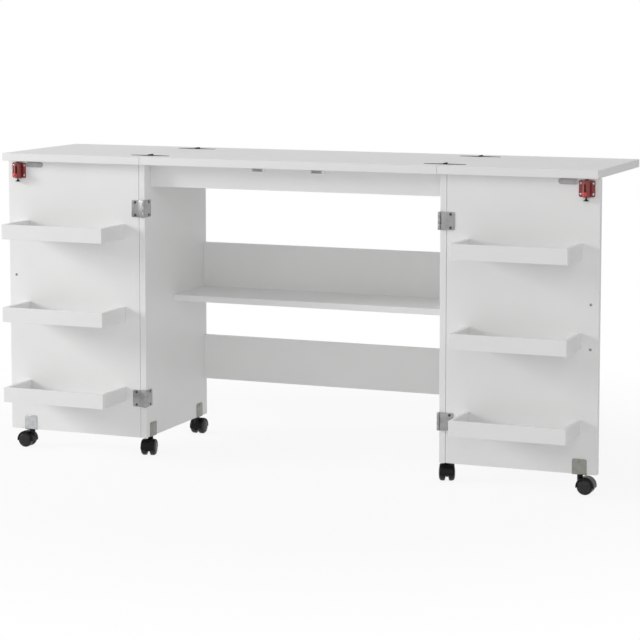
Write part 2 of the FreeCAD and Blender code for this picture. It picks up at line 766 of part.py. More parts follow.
def write_cabinet():
    """All nodes of the fixed cabinet."""
    write("centre_top", [centre_top()])
    for name, side in SIDES.items():
        write(name + "_side_panel", [side_panel(side)])
    rail_z = (TOP_Z[0] - RAIL_TALL, TOP_Z[0])
    write("front_rail", [cross_board((RAIL_FRONT, RAIL_FRONT + BOARD), rail_z)])
    write("rear_rail", [cross_board(BACK_Y, rail_z)])
    write("shelf", [cross_board((SHELF_FRONT, BACK_Y[0]), SHELF_Z)])
    upper_z = (SHELF_Z[0], SHELF_Z[1] + BACK_BOARD_TALL)
    write("upper_back_board", [cross_board(BACK_Y, upper_z)])
    lower_z = (LOWER_BOARD_Z, LOWER_BOARD_Z + BACK_BOARD_TALL)
    write("lower_back_board", [cross_board(BACK_Y, lower_z)])
    write("magnetic_catches", magnetic_catches())
    wings = [door_fixed_wing(s, z) for s in SIDES.values() for z in DOOR_HINGE_Z]
    write("door_hinge_fixed_wings", wings)
    straps = [leaf_fixed_strap(s, y) for s in SIDES.values() for y in LEAF_HINGE_Y]
    write("leaf_hinge_fixed_straps", straps)
    write("hinge_pins", hinge_pins())
    saddles = [saddle(x, y) for x, y, _ in CASTERS.values() if abs(x) == PANEL_MID_A]
    write("cabinet_caster_brackets", saddles)
    write("cabinet_screws", cabinet_screws())


os.makedirs("parts", exist_ok=True)
write_cabinet()
for side_name, side_sign in SIDES.items():
    write_door(side_name, side_sign)
    write_leaf(side_name, side_sign)
write_casters()
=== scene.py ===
"""Looks of a folding sewing and cutting table, in metres, +Z up, +X to the right, +Y to the back.

The packed model is the fixed frame. Its boards and trays keep their shape and get a laminate. The metal
and plastic pieces are new surfaces in the places that the frame's nodes and joints give. Each surface is
a stack of closed rings of points worked out as whole arrays, and each function says what its rings are.
"""

import json
import math

import bmesh
import bpy
import numpy as np
from bpy.props import FloatProperty, FloatVectorProperty, PointerProperty
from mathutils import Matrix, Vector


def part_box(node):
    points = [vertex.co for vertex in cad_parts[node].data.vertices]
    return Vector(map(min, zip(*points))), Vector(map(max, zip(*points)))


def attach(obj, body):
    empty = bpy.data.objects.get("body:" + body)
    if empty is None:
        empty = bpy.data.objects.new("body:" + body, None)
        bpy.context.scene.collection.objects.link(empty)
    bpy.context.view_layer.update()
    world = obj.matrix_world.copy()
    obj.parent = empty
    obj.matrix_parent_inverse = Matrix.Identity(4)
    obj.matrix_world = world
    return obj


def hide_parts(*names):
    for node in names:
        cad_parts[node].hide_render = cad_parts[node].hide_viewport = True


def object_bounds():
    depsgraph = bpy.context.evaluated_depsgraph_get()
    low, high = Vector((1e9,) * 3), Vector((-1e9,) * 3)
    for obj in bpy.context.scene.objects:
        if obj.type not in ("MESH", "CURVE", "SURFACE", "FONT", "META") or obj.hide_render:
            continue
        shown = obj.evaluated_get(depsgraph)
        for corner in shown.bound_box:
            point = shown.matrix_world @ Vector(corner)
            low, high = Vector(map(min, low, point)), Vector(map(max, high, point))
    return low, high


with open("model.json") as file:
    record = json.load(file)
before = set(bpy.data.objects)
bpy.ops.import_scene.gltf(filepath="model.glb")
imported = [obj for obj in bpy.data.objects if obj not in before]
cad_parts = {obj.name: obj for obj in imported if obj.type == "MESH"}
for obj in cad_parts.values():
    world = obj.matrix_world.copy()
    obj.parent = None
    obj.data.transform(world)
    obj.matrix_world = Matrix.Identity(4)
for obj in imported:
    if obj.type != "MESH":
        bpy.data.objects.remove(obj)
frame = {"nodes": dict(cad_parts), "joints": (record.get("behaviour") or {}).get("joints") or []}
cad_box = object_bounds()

bl_info = {
    "name": "Sewing Table Looks",
    "version": (1, 0, 0),
    "blender": (4, 5, 0),
    "location": "View3D > Sidebar > Sewing Table",
    "description": "Builds finishes, hinges, locks, handles and casters of a folding sewing table",
    "category": "Add Mesh",
}

PREFIX = "sewing_table_"
MATERIAL_PREFIX = "table_"
SIDES = {"left": -1.0, "right": 1.0}
JOINTS = {joint["name"]: joint for joint in frame["joints"]}
BOARDS = [
    "left_side_panel", "right_side_panel", "centre_top", "front_rail", "rear_rail", "shelf",
    "upper_back_board", "lower_back_board", "left_leaf", "right_leaf",
]
DOOR_BOARDS = ["panel", "upper_tray", "middle_tray", "lower_tray"]
DOOR_CASTERS = ["left_door", "right_door"]
CABINET_CASTERS = ["front_left", "front_right", "rear_left", "rear_right"]

X_AXIS, Y_AXIS, Z_AXIS = np.eye(3)


# ---- Settings ----

def distance(name, description, default):
    """A length that a user can change, in metres."""
    return FloatProperty(name=name, description=description, default=default, unit="LENGTH", precision=5)


def share(name, description, default):
    """A share from 0 to 1 that a user can change."""
    return FloatProperty(name=name, description=description, default=default, min=0, max=1, subtype="FACTOR")


def colour(name, description, default):
    """A linear colour that a user can change."""
    return FloatVectorProperty(name=name, description=description, default=default, size=3, min=0, max=1,
                               subtype="COLOR")


class LaminateSettings(bpy.types.PropertyGroup):
    """Finish of the boards and trays."""
    face: colour("Face", "Colour of the laminate", (0.90, 0.90, 0.895))
    # A lighter colour on the eased edges: a painted highlight where they catch the light.
    edge: colour("Edge line", "Colour of the eased edges", (0.96, 0.96, 0.955))
    pebble: distance("Pebble", "Depth of the laminate's fine texture", 0.00003)
    gloss_low: share("Smoothest", "Roughness of the smoothest spots", 0.36)
    gloss_high: share("Roughest", "Roughness of the roughest spots", 0.50)


class MetalSettings(bpy.types.PropertyGroup):
    """Colours of the bare and painted metal."""
    hinge: colour("Hinges", "Dull plated steel of the door hinges and strikes", (0.33, 0.33, 0.33))
    # The straps are near-black and are shaded as plastic without specular reflection, so they stay dark at a
    # grazing view.
    strap: colour("Straps", "Blackened steel of the leaf hinges", (0.05, 0.05, 0.05))
    bracket: colour("Brackets", "Zinc plate of the caster brackets", (0.27, 0.27, 0.25))
    # The left door's bracket gets this lighter, bluish copy of the zinc as a painted highlight from the side
    # lamp; all six brackets share one zinc.
    bright: colour("Bright bracket", "Bluish zinc plate of the left door's bracket", (0.50, 0.52, 0.525))
    screw: colour("Screws", "Bright plate of screws and pins", (0.55, 0.55, 0.55))
    dark: colour("Dark screws", "Dark plate of the door hinges' screws", (0.09, 0.09, 0.09))
    # The bolts' warm dark red-brown is a painted reflection of the red housing round them.
    bolt: colour("Bolts", "Warm dark plate of the sliding bolts", (0.20, 0.08, 0.06))
    housing: colour("Lock housing", "Dark red enamel", (0.25, 0.016, 0.013))
    knob: colour("Knob", "Bright red of the ball knob", (0.74, 0.026, 0.030))


class PlasticSettings(bpy.types.PropertyGroup):
    """Colours of the moulded plastic."""
    hood: colour("Hoods", "Black nylon of the casters' hoods", (0.006, 0.006, 0.006))
    wheel: colour("Wheels", "Black nylon of the wheels", (0.022, 0.022, 0.024))
    tip: colour("Bolt tip", "Black of the flared tip under the bolt", (0.010, 0.010, 0.011))
    catch: colour("Catch", "Casing of the magnetic catches", (0.80, 0.80, 0.79))
    magnet: colour("Magnet", "Magnets of the catches", (0.30, 0.30, 0.30))


class HingeSettings(bpy.types.PropertyGroup):
    """Sizes of the door hinges and the leaf hinges."""
    sheet: distance("Sheet", "Thickness of the steel", 0.0015)
    corner: distance("Corner", "Radius of the plates' corners", 0.003)
    gap: distance("Gap", "Play between two knuckles", 0.0003)
    door_tall: distance("Door hinge height", "Length of a door hinge's barrel", 0.044)
    door_knuckle: distance("Door knuckle", "Radius of a door hinge's barrel", 0.0036)
    door_pin: distance("Door pin", "Radius of a door hinge's pin", 0.0020)
    crank: distance("Crank", "How far the wing's crank stands in front of the door", 0.00445)
    door_pitch: distance("Door screw pitch", "Distance between a wing's two screws", 0.033)
    fixed_inset: distance("Screw inset", "From a fixed wing's back edge to its screws", 0.012)
    strap_long: distance("Strap length", "From the seam to a strap's tip", 0.054)
    strap_root: distance("Strap root", "Width of a strap beside the barrel", 0.030)
    strap_tip: distance("Strap tip", "Width of a strap at its tip", 0.015)
    strap_start: distance("Strap start", "From the seam to a strap's plate", 0.0026)
    shoulder: distance("Strap shoulder", "From the seam to where a strap starts to taper", 0.004)
    leaf_knuckle: distance("Leaf knuckle", "Radius of a leaf hinge's barrel", 0.0022)
    leaf_pin: distance("Leaf pin", "Radius of a leaf hinge's pin", 0.0011)


class LockSettings(bpy.types.PropertyGroup):
    """Sizes of the sliding bolt locks."""
    flange: distance("Flange", "Thickness of the flange", 0.0020)
    corner: distance("Corner", "Radius of the flange's corners", 0.0040)
    barrel: distance("Barrel", "Outer radius of the barrel", 0.0095)
    throat: distance("Throat", "Radius of the wide lower bore", 0.0072)
    throat_tall: distance("Throat height", "From the barrel's foot to the narrow bore", 0.016)
    slot: distance("Slot", "Width of the slot for the knob's neck", 0.0054)
    slot_low: distance("Slot foot", "From the barrel's foot to the slot", 0.004)
    slot_high: distance("Slot head", "From the barrel's head to the slot", 0.008)
    bolt: distance("Bolt", "Radius of the bolt", 0.0045)
    bore_play: distance("Bore play", "Play round the bolt", 0.00015)
    neck: distance("Neck", "Radius of the necks of knob and tip", 0.0020)
    tip: distance("Tip", "Radius of the flared tip", 0.0068)
    tip_tall: distance("Tip height", "Height of the flared tip", 0.005)
    neck_tall: distance("Neck height", "Bare neck between tip and bolt", 0.008)
    knob: distance("Knob", "Radius of the ball knob", 0.0055)
    knob_out: distance("Knob reach", "How far the round knob stands in front of the plain one", 0.0009)
    knob_rise: distance("Knob height", "From the bolt's foot to the knob's middle", 0.005)
    pitch_x: distance("Pitch across", "Distance of the flange's screws across", 0.030)
    pitch_z: distance("Pitch upright", "Distance of the flange's screws upright", 0.026)


class FittingSettings(bpy.types.PropertyGroup):
    """Sizes of handles, strikes, catches, brackets and screws."""
    handle_wide: distance("Handle width", "Width of the handle's strap", 0.012)
    handle_foot: distance("Handle foot", "Thickness of the handle at its feet", 0.012)
    handle_strap: distance("Handle strap", "Thickness of the handle at its crown", 0.005)
    handle_bend: distance("Handle bend", "Radius of the bend at the middle of the strap", 0.0125)
    strike_pitch: distance("Strike pitch", "Distance between a strike plate's screws", 0.032)
    catch_long: distance("Catch length", "Length of a catch's casing", 0.036)
    pole_out: distance("Pole reach", "How far the pole plates stand out of the casing", 0.002)
    pole_thick: distance("Pole plate", "Thickness of a pole plate", 0.002)
    bracket_steel: distance("Bracket steel", "Thickness of a caster bracket", 0.0015)
    bracket_corner: distance("Bracket corner", "Radius of a bracket's upper corners", 0.005)
    bracket_screw: distance("Bracket screw", "From a bracket's upper edge to its screw", 0.0045)
    screw_head: distance("Screw head", "Radius of a screw's head", 0.0036)
    screw_rise: distance("Screw rise", "Height of a screw's head", 0.0010)
    flush_head: distance("Flush head", "Radius of a countersunk head", 0.0028)
    flush_rise: distance("Flush rise", "Height of a countersunk head", 0.0002)
    cam: distance("Cam", "Radius of a cam fitting's cap", 0.0075)


class CasterSettings(bpy.types.PropertyGroup):
    """Sizes of the twin-wheel casters."""
    wheel: distance("Wheel", "Radius of a wheel", 0.020)
    inner: distance("Inner face", "From the middle plane to a wheel's inner face", 0.003)
    thick: distance("Wheel thickness", "Thickness of a wheel at its middle", 0.0175)
    cap: distance("Cap", "Radius of the domed cap on a wheel's outer face", 0.0155)
    hood: distance("Hood", "Outer radius of the hood over the wheels", 0.023)
    hood_edge: distance("Hood edge", "Outer radius of the hood at its borders", 0.020)
    room: distance("Wheel room", "Inner radius of the hood over the wheels", 0.021)
    room_edge: distance("Room edge", "Inner radius of the hood at its borders", 0.0182)
    half: distance("Half width", "Half of the hood's width", 0.0186)
    flat: distance("Flat", "Half of the width over which the hood is a plain round", 0.012)
    droop: FloatProperty(name="Droop", description="How far the hood reaches below the axle on both sides",
                         subtype="ANGLE", default=math.radians(9))
    web: distance("Web", "Half thickness of the web between the wheels", 0.0025)
    hub: distance("Hub", "Radius of the round middle of the web", 0.011)
    boss: distance("Boss", "Radius of the boss round the stem", 0.007)
    stem: distance("Stem", "Radius of the stem", 0.004)
    top: distance("Top", "Height of the boss over the floor", 0.0472)


class StudioSettings(bpy.types.PropertyGroup):
    """Camera, lamps, floor and backdrop."""
    eye: FloatVectorProperty(name="Camera", description="Place of the camera", size=3, unit="LENGTH",
                             default=(2.0984, -5.1155, 1.1735))
    pitch: FloatProperty(name="Pitch", description="How far the camera looks down from level",
                         subtype="ANGLE", default=math.radians(5.805))
    turn: FloatProperty(name="Turn", description="How far the camera is turned to the left",
                        subtype="ANGLE", default=0.38328)
    lens: FloatProperty(name="Lens", description="Focal length on a 36 mm wide sensor", default=122.5)
    shift: FloatProperty(name="Shift", description="Upright shift of the lens", default=-0.15)
    ambient: FloatProperty(name="Ambient", description="Strength of the even light all round", default=0.445)
    key_power: FloatProperty(name="Side lamp", description="Power of the large lamp at the left",
                             unit="POWER", default=151.0)
    key_place: FloatVectorProperty(name="Side place", description="Place of the large lamp at the left",
                                   size=3, unit="LENGTH", default=(-5.0, -2.0, 2.0))
    key_size: distance("Side size", "Width of the large lamp at the left", 1.7)
    fill_power: FloatProperty(name="Front lamp", description="Power of the weak lamp at the front right",
                              unit="POWER", default=25.0)
    fill_place: FloatVectorProperty(name="Front place", description="Place of the lamp at the front right",
                                    size=3, unit="LENGTH", default=(2.5, -4.0, 2.0))
    fill_size: distance("Front size", "Width of the lamp at the front right", 3.0)
    floor: colour("Floor", "Colour of the floor", (0.90, 0.90, 0.90))
    floor_reach: distance("Floor reach", "Half of the floor's width", 14.0)
    shade_reach: distance("Shade reach", "How far from the table its shade still shows", 1.7)
    shade: share("Shade", "How much of the floor's own light the camera sees beside the table", 0.12)


SETTINGS = {
    "laminate": LaminateSettings,
    "metal": MetalSettings,
    "plastic": PlasticSettings,
    "hinges": HingeSettings,
    "locks": LockSettings,
    "fittings": FittingSettings,
    "casters": CasterSettings,
    "studio": StudioSettings,
}


def settings(group):
    """The values of one of the groups of settings."""
    return getattr(bpy.context.scene, PREFIX + group)


# ---- Surfaces ----

def unit(vector):
    """A vector, or each row of an array of vectors, at length one."""
    vector = np.asarray(vector, float)
    return vector / np.linalg.norm(vector, axis=-1, keepdims=True)


def filleted(corners, radius, steps=4, closed=True):
    """Corner points replaced by arcs.

    An arc starts and ends radius / tan(h) from its corner, h being half the angle there, and its points
    turn evenly about the arc's middle, radius / sin(h) from the corner along the bisector.
    """
    corners = np.asarray(corners, float)
    before = unit(np.roll(corners, 1, axis=0) - corners)
    after = unit(np.roll(corners, -1, axis=0) - corners)
    inner = slice(None) if closed else slice(1, -1)
    corner, before, after = corners[inner], before[inner], after[inner]
    radius = np.broadcast_to(radius, len(corner))[:, None]
    half = np.arccos(np.clip((before * after).sum(axis=1, keepdims=True), -1, 1)) / 2
    reach = radius / np.tan(half)
    middle = corner + unit(before + after) * radius / np.sin(half)
    first = (corner + before * reach - middle)[:, None]
    last = (corner + after * reach - middle)[:, None]
    swing = (math.pi - 2 * half)[:, None]
    part = np.linspace(0, 1, steps + 1)[None, :, None]
    arcs = np.sin((1 - part) * swing) * first + np.sin(part * swing) * last
    arcs = (middle[:, None] + arcs / np.sin(swing)).reshape(-1, corners.shape[1])
    return arcs if closed else np.concatenate([corners[:1], arcs, corners[-1:]])


def lengths_along(path):
    """How far along a path of straight steps each of its points lies."""
    return np.concatenate([[0], np.cumsum(np.linalg.norm(np.diff(path, axis=0), axis=1))])


def walked(path, distances):
    """The points that lie at these distances along a path of straight steps."""
    gone = lengths_along(path)
    return np.stack([np.interp(distances, gone, path[:, k]) for k in range(path.shape[1])], axis=1)


def path_length(path):
    """The length of a path of straight steps."""
    return np.linalg.norm(np.diff(path, axis=0), axis=1).sum()


def corner_loss(from_end, corner):
    """How much narrower a plate is at a distance from its end, so that its corners are quarter rounds."""
    short = np.clip(corner - from_end, 0, corner)
    return corner - np.sqrt(corner ** 2 - short ** 2)


def close_to_ends(length, corner, steps=5, middle=2):
    """Distances along a plate: close together in its rounded ends and even between them."""
    near = corner * (1 - np.cos(np.linspace(0, math.pi / 2, steps + 1)))
    return np.unique(np.concatenate([near, np.linspace(corner, length - corner, middle), length - near]))


def bar(path, across, half_width, half_thick, ease):
    """Rings of a strip carried along a path.

    Each ring is a rectangle with corners of radius ease. It reaches half_width to each side along across,
    and half_thick to each side along the path's normal, which is across x tangent.
    """
    half_width = np.broadcast_to(half_width, len(path)).astype(float)
    half_thick = np.broadcast_to(half_thick, len(path)).astype(float)
    ease = np.minimum(ease, np.minimum(half_width, half_thick))[:, None]
    normal = unit(np.cross(across, np.gradient(path, axis=0)))
    quarter = np.linspace(0, math.pi / 2, 4)
    turn = (np.arange(4)[:, None] * math.pi / 2 + quarter).ravel()
    sign_u = np.repeat([1, -1, -1, 1], 4)
    sign_v = np.repeat([1, 1, -1, -1], 4)
    u = sign_u * (half_width[:, None] - ease) + ease * np.cos(turn)
    v = sign_v * (half_thick[:, None] - ease) + ease * np.sin(turn)
    return path[:, None] + u[..., None] * np.asarray(across, float) + v[..., None] * normal[:, None]


def turned(start, direction, profile, around=40):
    """Rings of a turned piece: a circle round the axis for each (distance along it, radius) of a profile."""
    direction = unit(direction)
    across = unit(np.cross(direction, X_AXIS if abs(direction[0]) < 0.7 else Y_AXIS))
    upright = np.cross(direction, across)
    turn = np.arange(around) * 2 * math.pi / around
    circle = np.cos(turn)[:, None] * across + np.sin(turn)[:, None] * upright
    far, radius = np.asarray(profile, float).T
    return np.asarray(start, float) + far[:, None, None] * direction + radius[:, None, None] * circle


def eased_rod(start, end, radius, ease, around=32):
    """Rings of a round bar from one point to another, whose rims are rounded to a radius of ease."""
    start, end = np.asarray(start, float), np.asarray(end, float)
    far = np.linalg.norm(end - start)
    profile = filleted([(0, 0), (0, radius), (far, radius), (far, 0)], ease, 3, closed=False)
    return turned(start, end - start, profile, around)


def slab(outline, origin, axes, thick, ease):
    """Rings of a plate with rounded edges.

    The outline is drawn in along its normals by ease * (1 - sin t) at the height ease * (1 - cos t), and the
    same again at the other face. Its points become origin + u * axes[0] + v * axes[1] + w * axes[2].
    """
    outline = np.asarray(outline, float)
    along = unit(np.roll(outline, -1, axis=0) - np.roll(outline, 1, axis=0))
    outward = np.stack([along[:, 1], -along[:, 0]], axis=1)
    turn = np.linspace(0, math.pi / 2, 4)
    inset = ease * (1 - np.sin(turn))
    rise = ease * (1 - np.cos(turn))
    inset = np.concatenate([inset, inset[::-1]])[:, None, None]
    height = np.concatenate([rise, thick - rise[::-1]])
    flat = outline - inset * outward
    height = np.broadcast_to(height[:, None, None], flat.shape[:2] + (1,))
    return np.concatenate([flat, height], axis=2) @ np.asarray(axes, float) + np.asarray(origin, float)


def rectangle(wide, tall, corner, steps=5):
    """The outline of a rectangle about the origin with rounded corners."""
    u, v = wide / 2, tall / 2
    return filleted([(-u, -v), (u, -v), (u, v), (-u, v)], corner, steps)


def block(low, high, ease):
    """Rings of a box between two corners with rounded edges."""
    low, high = np.minimum(low, high), np.maximum(low, high)
    wide, deep, tall = high - low
    foot = (low + high) / 2 - Z_AXIS * tall / 2
    return slab(rectangle(wide, deep, ease, 3), foot, (X_AXIS, Y_AXIS, Z_AXIS), tall, ease)


# Shares of a screw head's radius
HEAD_RINGS = (1, 1, 0.93, 0.8, 0.68, 0.6, 0.45, 0.3, 0.18)  # rings of points, the first one buried
HEAD_DOME = 0.9         # how strongly the head falls off to its rim
RECESS_REACH = 0.68     # length of the recess's arms
RECESS_RAMP = 0.06      # width of the ramps at its borders


def slotted_head(seat, outward, radius, rise, slot=0.13, deep=0.6):
    """Rings of a screw's head with a cross recess.

    The height at (r, t) is rise * sqrt(1 - HEAD_DOME (r / radius)^2), less deep * rise where the point lies
    within slot * radius of one of the cross's two lines and nearer to the middle than RECESS_REACH. Angles
    are drawn together at the cross's flanks, and both borders of the recess are ramps.
    """
    outward = unit(outward)
    across = unit(np.cross(outward, Z_AXIS if abs(outward[2]) < 0.7 else X_AXIS))
    upright = np.cross(outward, across)
    even = np.arange(24) * 2 * math.pi / 24
    turn = even - 0.17 * np.sin(4 * even)
    reach = np.array(HEAD_RINGS)[:, None]
    line = reach * np.minimum(abs(np.sin(turn)), abs(np.cos(turn)))
    beside = np.clip((slot - line) / RECESS_RAMP + 0.5, 0, 1)
    cut = beside * np.clip((RECESS_REACH - reach) / RECESS_RAMP, 0, 1)
    height = rise * (np.sqrt(1 - HEAD_DOME * reach ** 2) - deep * cut)
    height[0] = -rise
    spot = reach[..., None] * (np.cos(turn)[:, None] * across + np.sin(turn)[:, None] * upright)
    return np.asarray(seat, float) + radius * spot + height[..., None] * outward


def skin(rings):
    """Points and faces of the closed surface through a stack of rings, each end drawn in to its middle."""
    ends = [np.broadcast_to(rings[k].mean(axis=0), rings[k].shape)[None] for k in (0, -1)]
    rings = np.concatenate([ends[0], rings, ends[1]])
    index = np.arange(rings.shape[0] * rings.shape[1]).reshape(rings.shape[:2])
    after = np.roll(index, -1, axis=1)
    quads = np.stack([index[:-1], after[:-1], after[1:], index[1:]], axis=-1)
    return rings.reshape(-1, 3), quads.reshape(-1, 4)


def walls(outer, inner, kept):
    """Points and faces of a closed wall between two grids of points of one shape.

    kept says which cells of the grids are there. Wherever a kept cell has a missing neighbour, a face
    joins the two grids along the edge between them, so that openings and borders are closed.
    """
    index = np.arange(kept.size + sum(kept.shape) + 1).reshape(outer.shape[:2])
    far = index + index.size
    cells = [np.stack([g[:-1, :-1], g[1:, :-1], g[1:, 1:], g[:-1, 1:]], axis=-1)[kept] for g in (index, far)]
    padded = np.pad(kept, 1)
    rows, columns = np.nonzero(padded[1:, 1:-1] != padded[:-1, 1:-1])
    rims = [np.stack([index[rows, columns], index[rows, columns + 1],
                      far[rows, columns + 1], far[rows, columns]], axis=-1)]
    rows, columns = np.nonzero(padded[1:-1, 1:] != padded[1:-1, :-1])
    rims.append(np.stack([index[rows, columns], index[rows + 1, columns],
                          far[rows + 1, columns], far[rows, columns]], axis=-1))
    points = np.concatenate([outer.reshape(-1, 3), inner.reshape(-1, 3)])
    return points, np.concatenate(cells + rims)


SAME_POINT = 1e-7       # points nearer to each other than this become one


def piece(name, parts, body, replaces=(), smooth=35):
    """One object made of several closed surfaces, given as (finish, rings) or (finish, (points, faces))."""
    finishes = list(dict.fromkeys(finish_name for finish_name, _ in parts))
    points, faces, numbers, count = [], [], [], 0
    for finish_name, shape in parts:
        corners, quads = shape if isinstance(shape, tuple) else skin(shape)
        points.append(corners)
        faces.append(quads + count)
        numbers.append(np.full(len(quads), finishes.index(finish_name)))
        count += len(corners)
    mesh = bpy.data.meshes.new(name)
    mesh.from_pydata(np.concatenate(points), [], np.concatenate(faces).tolist())
    for finish_name in finishes:
        mesh.materials.append(finish(finish_name))
    mesh.polygons.foreach_set("material_index", np.concatenate(numbers).astype(np.int32))
    shape = bmesh.new()
    shape.from_mesh(mesh)
    bmesh.ops.remove_doubles(shape, verts=shape.verts, dist=SAME_POINT)
    loose = [vertex for vertex in shape.verts if not vertex.link_faces]
    bmesh.ops.delete(shape, geom=loose, context="VERTS")
    bmesh.ops.recalc_face_normals(shape, faces=shape.faces)
    shape.to_mesh(mesh)
    shape.free()
    mesh.polygons.foreach_set("use_smooth", np.ones(len(mesh.polygons), bool))
    mesh.set_sharp_from_angle(angle=math.radians(smooth))
    made = bpy.data.objects.new(name, mesh)
    bpy.context.scene.collection.objects.link(made)
    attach(made, body)
    if replaces:
        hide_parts(*replaces)
    return made


# ---- Finishes ----

def feed(tree, node, values):
    """Sets a node's inputs to plain values, or joins them to other nodes' outputs."""
    for key, value in values.items():
        if isinstance(value, bpy.types.NodeSocket):
            tree.links.new(value, node.inputs[key])
        else:
            node.inputs[key].default_value = value


def added(tree, kind, values, **choices):
    """A new shader node with its choices made and its inputs fed."""
    node = tree.nodes.new("ShaderNode" + kind)
    for key, choice in choices.items():
        setattr(node, key, choice)
    feed(tree, node, values)
    return node


def blank_finish(name, base, rough, metal=0.0):
    """A new node material with its plain values set on the shader itself."""
    made = bpy.data.materials.new(name)
    made.use_nodes = True
    shader = made.node_tree.nodes["Principled BSDF"]
    feed(made.node_tree, shader, {"Base Color": (*base, 1), "Roughness": rough, "Metallic": metal})
    return made, made.node_tree, shader


def speckle(tree, scale, detail=2.0, stretch=(1, 1, 1)):
    """Noise of scale spots a metre on the piece's own coordinates, which may be stretched along its axes."""
    place = added(tree, "TexCoord", {}).outputs["Object"]
    place = added(tree, "Mapping", {"Vector": place, "Scale": stretch}).outputs["Vector"]
    return added(tree, "TexNoise", {"Vector": place, "Scale": scale, "Detail": detail}).outputs["Fac"]


def spread(tree, value, low, high, within=(0.3, 0.7)):
    """A value between two limits, by default the middle of a noise's range, spread over new limits."""
    values = {"Value": value, "From Min": within[0], "From Max": within[1], "To Min": low, "To Max": high}
    return added(tree, "MapRange", values).outputs["Result"]


def largest(tree, values):
    """The largest of several values."""
    most = values[0]
    for value in values[1:]:
        most = added(tree, "Math", {0: most, 1: value}, operation="MAXIMUM").outputs["Value"]
    return most


MIX_FIRST, MIX_SECOND, MIX_RESULT = 6, 7, 2  # the colour sockets of a Mix node


def blended(tree, factor, first, second):
    """A colour between two others, each of them a tuple or another node's output."""
    first, second = ((*value, 1) if isinstance(value, tuple) else value for value in (first, second))
    mix = added(tree, "Mix", {}, data_type="RGBA")
    feed(tree, mix, {"Factor": factor, MIX_FIRST: first, MIX_SECOND: second})
    return mix.outputs[MIX_RESULT]


def relief(tree, shader, value, deep):
    """Bump of a given depth from a value."""
    bump = added(tree, "Bump", {"Height": value, "Distance": deep, "Strength": 1.0})
    feed(tree, shader, {"Normal": bump.outputs["Normal"]})


def scaled(base, factor):
    """A colour made darker or lighter."""
    return tuple(min(1.0, channel * factor) for channel in base)


def clouded(tree, shader, base, scale, detail, low, high):
    """A tone that changes between two shares of the base colour in soft clouds."""
    cloud = spread(tree, speckle(tree, scale, detail), 0, 1)
    feed(tree, shader, {"Base Color": blended(tree, cloud, scaled(base, low), scaled(base, high))})


def edge_highlight_share(tree):
    """1 on the eased edges of a board and 0 on its faces, from the normal in the board's own axes: where the
    painted edge highlight goes.
    """
    normal = added(tree, "TexCoord", {}).outputs["Normal"]
    size = added(tree, "VectorMath", {0: normal}, operation="ABSOLUTE").outputs["Vector"]
    split = added(tree, "SeparateXYZ", {"Vector": size})
    return spread(tree, largest(tree, [split.outputs[axis] for axis in "XYZ"]), 0, 1, (0.95, 0.80))


def laminate_finish(name, face):
    """White melamine laminate: a fine pebble, a little change of tone, and a lighter line painted along the
    eased edges as their highlight.
    """
    looks = settings("laminate")
    made, tree, shader = blank_finish(name, face, looks.gloss_low)
    tone = blended(tree, spread(tree, speckle(tree, 5.0), 0, 1), scaled(face, 0.985), scaled(face, 1.012))
    rough = spread(tree, speckle(tree, 160.0), looks.gloss_low, looks.gloss_high)
    # Painted highlight: the eased edges take the lighter edge colour.
    edge_highlighted = blended(tree, edge_highlight_share(tree), tone, tuple(looks.edge))
    feed(tree, shader, {"Base Color": edge_highlighted, "Roughness": rough})
    relief(tree, shader, speckle(tree, 1100.0, 3.0), looks.pebble)
    return made


def plated_finish(name, base, rough, brushed=(1, 1, 1)):
    """Plated steel: cloudy tone, and fine lines across the axis that brushed shortens."""
    made, tree, shader = blank_finish(name, base, rough, 1.0)
    clouded(tree, shader, base, 90.0, 4.0, 0.86, 1.10)
    grain = speckle(tree, 260.0, 3.0, brushed)
    feed(tree, shader, {"Roughness": spread(tree, grain, rough - 0.09, rough + 0.10)})
    relief(tree, shader, grain, 0.00002)
    return made


def enamel_finish(name, base, rough):
    """Glossy enamel over metal, with a slight orange peel and darker hollows."""
    made, tree, shader = blank_finish(name, base, rough)
    feed(tree, shader, {"Coat Weight": 0.5, "Coat Roughness": 0.12})
    clouded(tree, shader, base, 140.0, 3.0, 0.88, 1.10)
    relief(tree, shader, speckle(tree, 700.0, 2.0), 0.00001)
    return made


def plastic_finish(name, base, rough, gloss=0.5):
    """Moulded plastic, or a matt coat, with a fine spark-eroded texture and faint rub marks."""
    made, tree, shader = blank_finish(name, base, rough)
    clouded(tree, shader, base, 60.0, 5.0, 1.0, 1.5)
    rubbed = spread(tree, speckle(tree, 220.0, 3.0), rough - 0.08, rough + 0.10)
    feed(tree, shader, {"Specular IOR Level": gloss, "Roughness": rubbed})
    relief(tree, shader, speckle(tree, 1800.0, 2.0), 0.000006)
    return made


